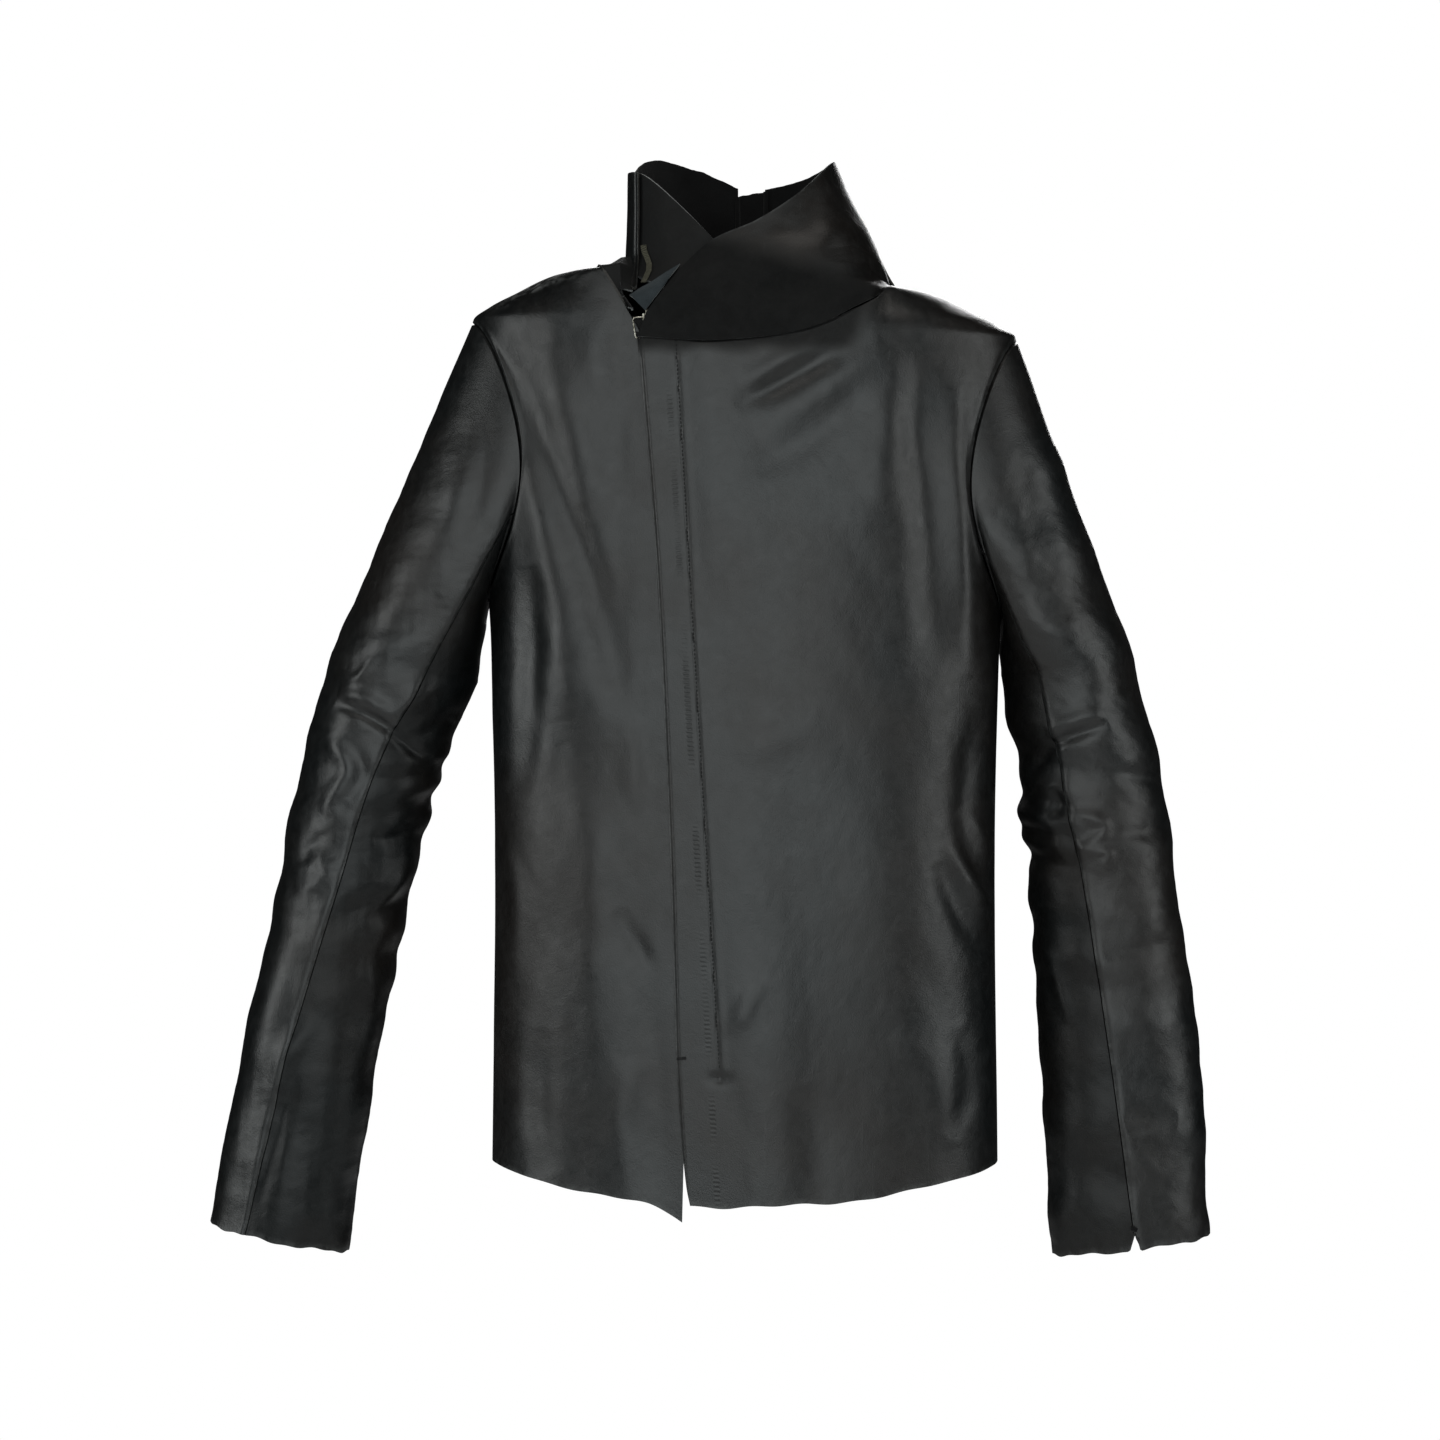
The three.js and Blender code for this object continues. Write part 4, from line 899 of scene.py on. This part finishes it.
# The sleeves.
sleeves = {"headRows": 102, "armRows": 198, "topCols": 150, "underCols": 96, "half": 0.4}
sleeveFolds = {
    "right": [
        ([(-308, -318), (-290, -324), (-267, -337), (-236, -366)], -4.2, 4.5),
        ([(-306, -309), (-286, -314), (-262, -328)], 2.6, 6),
        ([(-318, -338), (-297, -366), (-312, -396), (-290, -408)], 2.6, 7),
        ([(-302, -344), (-286, -370), (-296, -392)], -2.4, 7),
        ([(-326, -425), (-313, -446), (-338, -460)], 2.4, 7),
        ([(-312, -412), (-336, -436), (-350, -440)], -2, 7),
        ([(-252, -420), (-266, -460), (-290, -480)], 3, 5),
        ([(-240, -395), (-262, -418), (-280, -420)], -2.6, 6),
        ([(-266, -480), (-284, -515), (-280, -540), (-292, -600)], 2.4, 7),
        ([(-322, -552), (-343, -584), (-352, -620)], 3, 8),
        ([(-338, -585), (-352, -640), (-366, -700)], -2.6, 8),
        ([(-300, -670), (-298, -700), (-304, -724)], -2.2, 7),
        ([(-276, -282), (-292, -300), (-304, -298)], 1.8, 4),
        ([(-230, -300), (-252, -318), (-262, -330)], 2.2, 7),
        ([(-200, -120), (-222, -180), (-246, -230)], 2, 16),
        ([(-186, -90), (-196, -150), (-214, -200)], -2.2, 9),
        ([(-340, -480), (-356, -540), (-362, -600)], 1.8, 15),
        ([(-226, -240), (-262, -262), (-290, -262)], -1.6, 9),
        ([(-284, -440), (-304, -462), (-330, -500)], 1.8, 9),
        ([(-222, -330), (-240, -340), (-256, -346)], -2.2, 5),
    ],
    "left": [
        ([(214, -372), (232, -349), (252, -340), (271, -333)], -4, 4.5),
        ([(226, -338), (248, -330), (270, -324)], 2.4, 6), ([(246, -398), (270, -411), (252, -428)], 2.6, 5),
        ([(250, -428), (272, -431), (262, -446)], 2.4, 5), ([(262, -366), (290, -372), (318, -378)], -1.8, 6),
        ([(262, -410), (292, -416), (322, -412)], -1.8, 6), ([(264, -470), (296, -476), (330, -468)], 1.4, 9),
        ([(268, -506), (300, -502), (334, -498)], -1.5, 7),
        ([(284, -634), (302, -628), (324, -632)], -3, 9),
        ([(278, -662), (296, -664), (310, -680)], 2, 12), ([(228, -500), (236, -530), (246, -560)], 2.2, 5),
        ([(220, -386), (232, -410), (240, -440)], 2, 6), ([(206, -240), (226, -262), (252, -262)], 1.8, 9),
        ([(196, -110), (214, -170), (226, -230)], -2, 12),
        ([(214, -90), (242, -160), (262, -230)], 1.8, 18), ([(270, -540), (300, -556), (332, -552)], 1.2, 10),
        ([(232, -380), (236, -395), (228, -408)], -2.4, 5),
        ([(300, -300), (280, -316), (262, -318)], -1.2, 8),
    ],
}


def sleeveRelief(point, degrees, ring, name, seed):
    # Folds on the front half, wrinkles across the inside of the elbow, and slow unevenness all over.
    x, z = seenFromFront(point)
    turn = np.radians(degrees)
    facing, inside = ease(0.0, 0.35, np.sin(turn)), ease(-0.1, 0.8, -np.cos(turn))
    elbow = hump(z, -400, 62)
    wrinkles = np.sin(z / 4.6 + 1.6 * np.sin(z / 23 + seed) + 2.2 * np.sin(turn) + seed) * elbow
    bends = np.sin(z / 8.5 + 2.0 * np.sin(z / 41) + 1.7 * np.cos(turn) + seed) * hump(z, -430, 120)
    return (facing * ridges(x, z, sleeveFolds[name]) + inside * (1.5 * wrinkles + 1.2 * bends)
            + 0.5 * bends + 1.1 * swell(x, z, 70, seed) + 0.5 * swell(x * 0.6, z, 26, seed + 1)
            + 0.12 * swell(x, z, 10, seed + 2)
            + (1 - facing) * 1.6 * np.sin(z / 13 + 2 * np.sin(z / 37)) * hump(z, -390, 70))


def sleeveStrip(sleeve, name, low, high, cols, seed, welt):
    # A strip of the sleeve between two seams, from the armhole to the cuff.
    ring = np.concatenate([np.linspace(0, 1, sleeves["headRows"], endpoint=False),
                           np.linspace(1, 5, sleeves["armRows"])])[:, None] + np.zeros(cols)
    degrees = mix(low(ring), high(ring), np.linspace(0, 1, cols))
    point = sleevePoint(sleeve, degrees, ring)
    relief = sleeveRelief(point, degrees, ring, name, seed) * ease(0, 0.35, ring)
    relief = relief + edgeWelt(*ring.shape, ("start", "end"), welt, 3) * ease(0, 0.2, ring)
    fromSeam = np.arange(cols)[::-1] if welt > 0 else np.arange(cols)
    cuff = ease(4.8, 5, ring) * (0.8 * np.sin(degrees / 9) + 0.5 * np.sin(degrees / 3.7))
    slit = sleeve["slit"] * ease(4.88, 5, ring) * hump(fromSeam, 0, 1.3)
    point[..., 2] += cuff + slit
    return raised(point, sleeve["side"], relief + 0.5)


def makeSleeve(name, sleeve, seed):
    seamAt = lambda values, ring: through(list(enumerate(values, 1)))(np.maximum(ring, 1))
    front, back = lambda ring: seamAt(sleeve["frontSeam"], ring), lambda ring: seamAt(backSeam, ring)
    half, outward = sleeves["half"], sleeve["side"]
    top = sleeveStrip(sleeve, name, lambda r: back(r) - 360 + half, lambda r: front(r) - half,
                      sleeves["topCols"], seed, 1.5)
    under = sleeveStrip(sleeve, name, lambda r: front(r) + half, lambda r: back(r) - half,
                        sleeves["underCols"], seed, -1.1)
    top = tuck(top, "bottom", 6, 3.1, outward)
    under = tuck(tuck(under, "start", 4, 2.2, outward), "end", 4, 2.2, outward)
    under = tuck(under, "bottom", 6, 3.1, outward)
    return (sheet(name + "TopSleeve", top, outward),
            # The under sleeve takes the less reflective copy of the leather: painted shade under the arm.
            sheet(name + "UnderSleeve", under, outward, ("underGrain", "flesh", "edge")))


leftFront, rightFront, placketStitching = makeFronts()
leftBack = makeBack("leftBack", leftSleeve, [(0.2, 5), (60, 1), (body["neck"], -3)], 61)
rightBack = makeBack("rightBack", rightSleeve, [(-0.2, 5), (-50, 10), (-88, 21), (-body["neck"], 11)], 71)
collarPieces = makeCollar()
leftTop, leftUnder = makeSleeve("left", leftSleeve, 81)
rightTop, rightUnder = makeSleeve("right", rightSleeve, 91)
print("leather pieces made")


# What rides on what.
# The CAD sleeve pieces are hidden, and the new sleeve pieces stay where they are made, with no body to ride
# on.
crossing = {
    "left_sleeve": {"left_top_sleeve": leftTop, "left_under_sleeve": leftUnder},
    "right_sleeve": {"right_top_sleeve": rightTop, "right_under_sleeve": rightUnder},
}
for arm, pieces in crossing.items():
    for node, piece in pieces.items():
        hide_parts(node)
        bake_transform(piece)
panels = {"left_front_panel": leftFront, "left_back_panel": leftBack, "right_front_panel": rightFront,
          "right_back_panel": rightBack}
for node, piece in panels.items():
    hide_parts(node)
    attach(piece, "jacket_body")
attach(placketStitching, "jacket_body")
for node, piece in collarPieces.items():
    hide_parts(node)
    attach(piece, "jacket_body")

carried = {
    "zip_tape_left": "tape", "zip_tape_right": "tape", "zip_coil_left": "coil", "zip_coil_right": "coil",
    "zip_top_stop_left": "metal", "zip_top_stop_right": "metal", "zip_bottom_stop": "metal",
    "placket_facing": "grain", "zip_guard": "flesh", "zip_bartack": "thread", "zip_slider": "metal",
    "zip_pull_ring": "metal", "zip_tape_end": "khaki",
}
for node, key in carried.items():
    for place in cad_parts[node].material_slots:
        place.material = finish[key]
print("pieces placed")


# Floor, light and camera.
studio = {"floor": -1.45, "floorHalf": 2.4, "lens": 85, "distance": 2.60, "aimX": -0.019, "aimZ": -0.3305}
softboxes = [                      # name, place, aimed at, width, height, power, colour
    ("front box", (-0.10, -2.9, 0.02), (0, 0, -0.36), 2.8, 2.5, 48, (0.95, 1.0, 1.0)),
    ("left box", (2.8, -1.4, 0.1), (0, 0, -0.34), 1.5, 2.2, 30, (0.97, 1.0, 0.99)),
    ("right box", (-2.8, -1.4, 0.1), (0, 0, -0.34), 1.5, 2.2, 34, (0.97, 1.0, 0.99)),
    ("top box", (0, -1.1, 2.4), (0, 0, -0.2), 2.4, 1.8, 34, (1.0, 0.97, 0.92)),
    ("back box", (0.4, 2.9, 0.9), (0, 0, -0.30), 1.5, 1.6, 55, (1, 1, 1)),
]


def softbox(name, place, aim, width, height, power, colour):
    lamp = bpy.data.lights.new(name, "AREA")
    lamp.shape, lamp.size, lamp.size_y, lamp.energy, lamp.color = "RECTANGLE", width, height, power, colour
    light = bpy.data.objects.new(name, lamp)
    light.location = place
    light.rotation_euler = (Vector(aim) - Vector(place)).to_track_quat("-Z", "Y").to_euler()
    bpy.context.scene.collection.objects.link(light)


def makeStudio():
    half, low = studio["floorHalf"] * 1000, studio["floor"] * 1000
    corners = np.array([(-half, -half, low), (half, -half, low), (half, half, low), (-half, half, low)])
    finish["floor"], add, shade = nodesOf("pale floor")
    speck = noise(add, add("TexCoord").outputs["Object"], 30.0, 2.0)
    shade({"Base Color": blendColour(add, speck, (0.80, 0.80, 0.80), (0.84, 0.84, 0.84)), "Roughness": 0.8,
           "Emission Color": (1, 1, 1, 1), "Emission Strength": 0.10})
    meshFrom("floor", corners, np.array([[0, 1, 2, 3]]), ("floor",))
    for box in softboxes:
        softbox(*box)
    world = bpy.data.worlds.new("white studio")
    bpy.context.scene.world = world
    world.use_nodes = True
    tree = world.node_tree
    backdrop = next(n for n in tree.nodes if n.type == "BACKGROUND")
    seen = tree.nodes.new("ShaderNodeLightPath")
    level = tree.nodes.new("ShaderNodeMapRange")
    level.inputs["To Min"].default_value = 0.02
    level.inputs["To Max"].default_value = 1.0
    wire(level.inputs["Value"], seen.outputs["Is Camera Ray"])
    wire(backdrop.inputs["Strength"], level.outputs[0])
    wire(backdrop.inputs["Color"], (1, 1, 1, 1))
    bpy.context.scene.view_settings.view_transform = "Standard"
    bpy.context.scene.view_settings.gamma = 0.86


def makeCamera():
    lens = bpy.data.cameras.new("camera")
    lens.lens, lens.sensor_width = studio["lens"], 36
    camera = bpy.data.objects.new("camera", lens)
    camera.location = (studio["aimX"], -studio["distance"], studio["aimZ"])
    camera.rotation_euler = (np.pi / 2, 0, 0)
    bpy.context.scene.collection.objects.link(camera)
    bpy.context.scene.camera = camera


makeStudio()
makeCamera()
print("studio made")
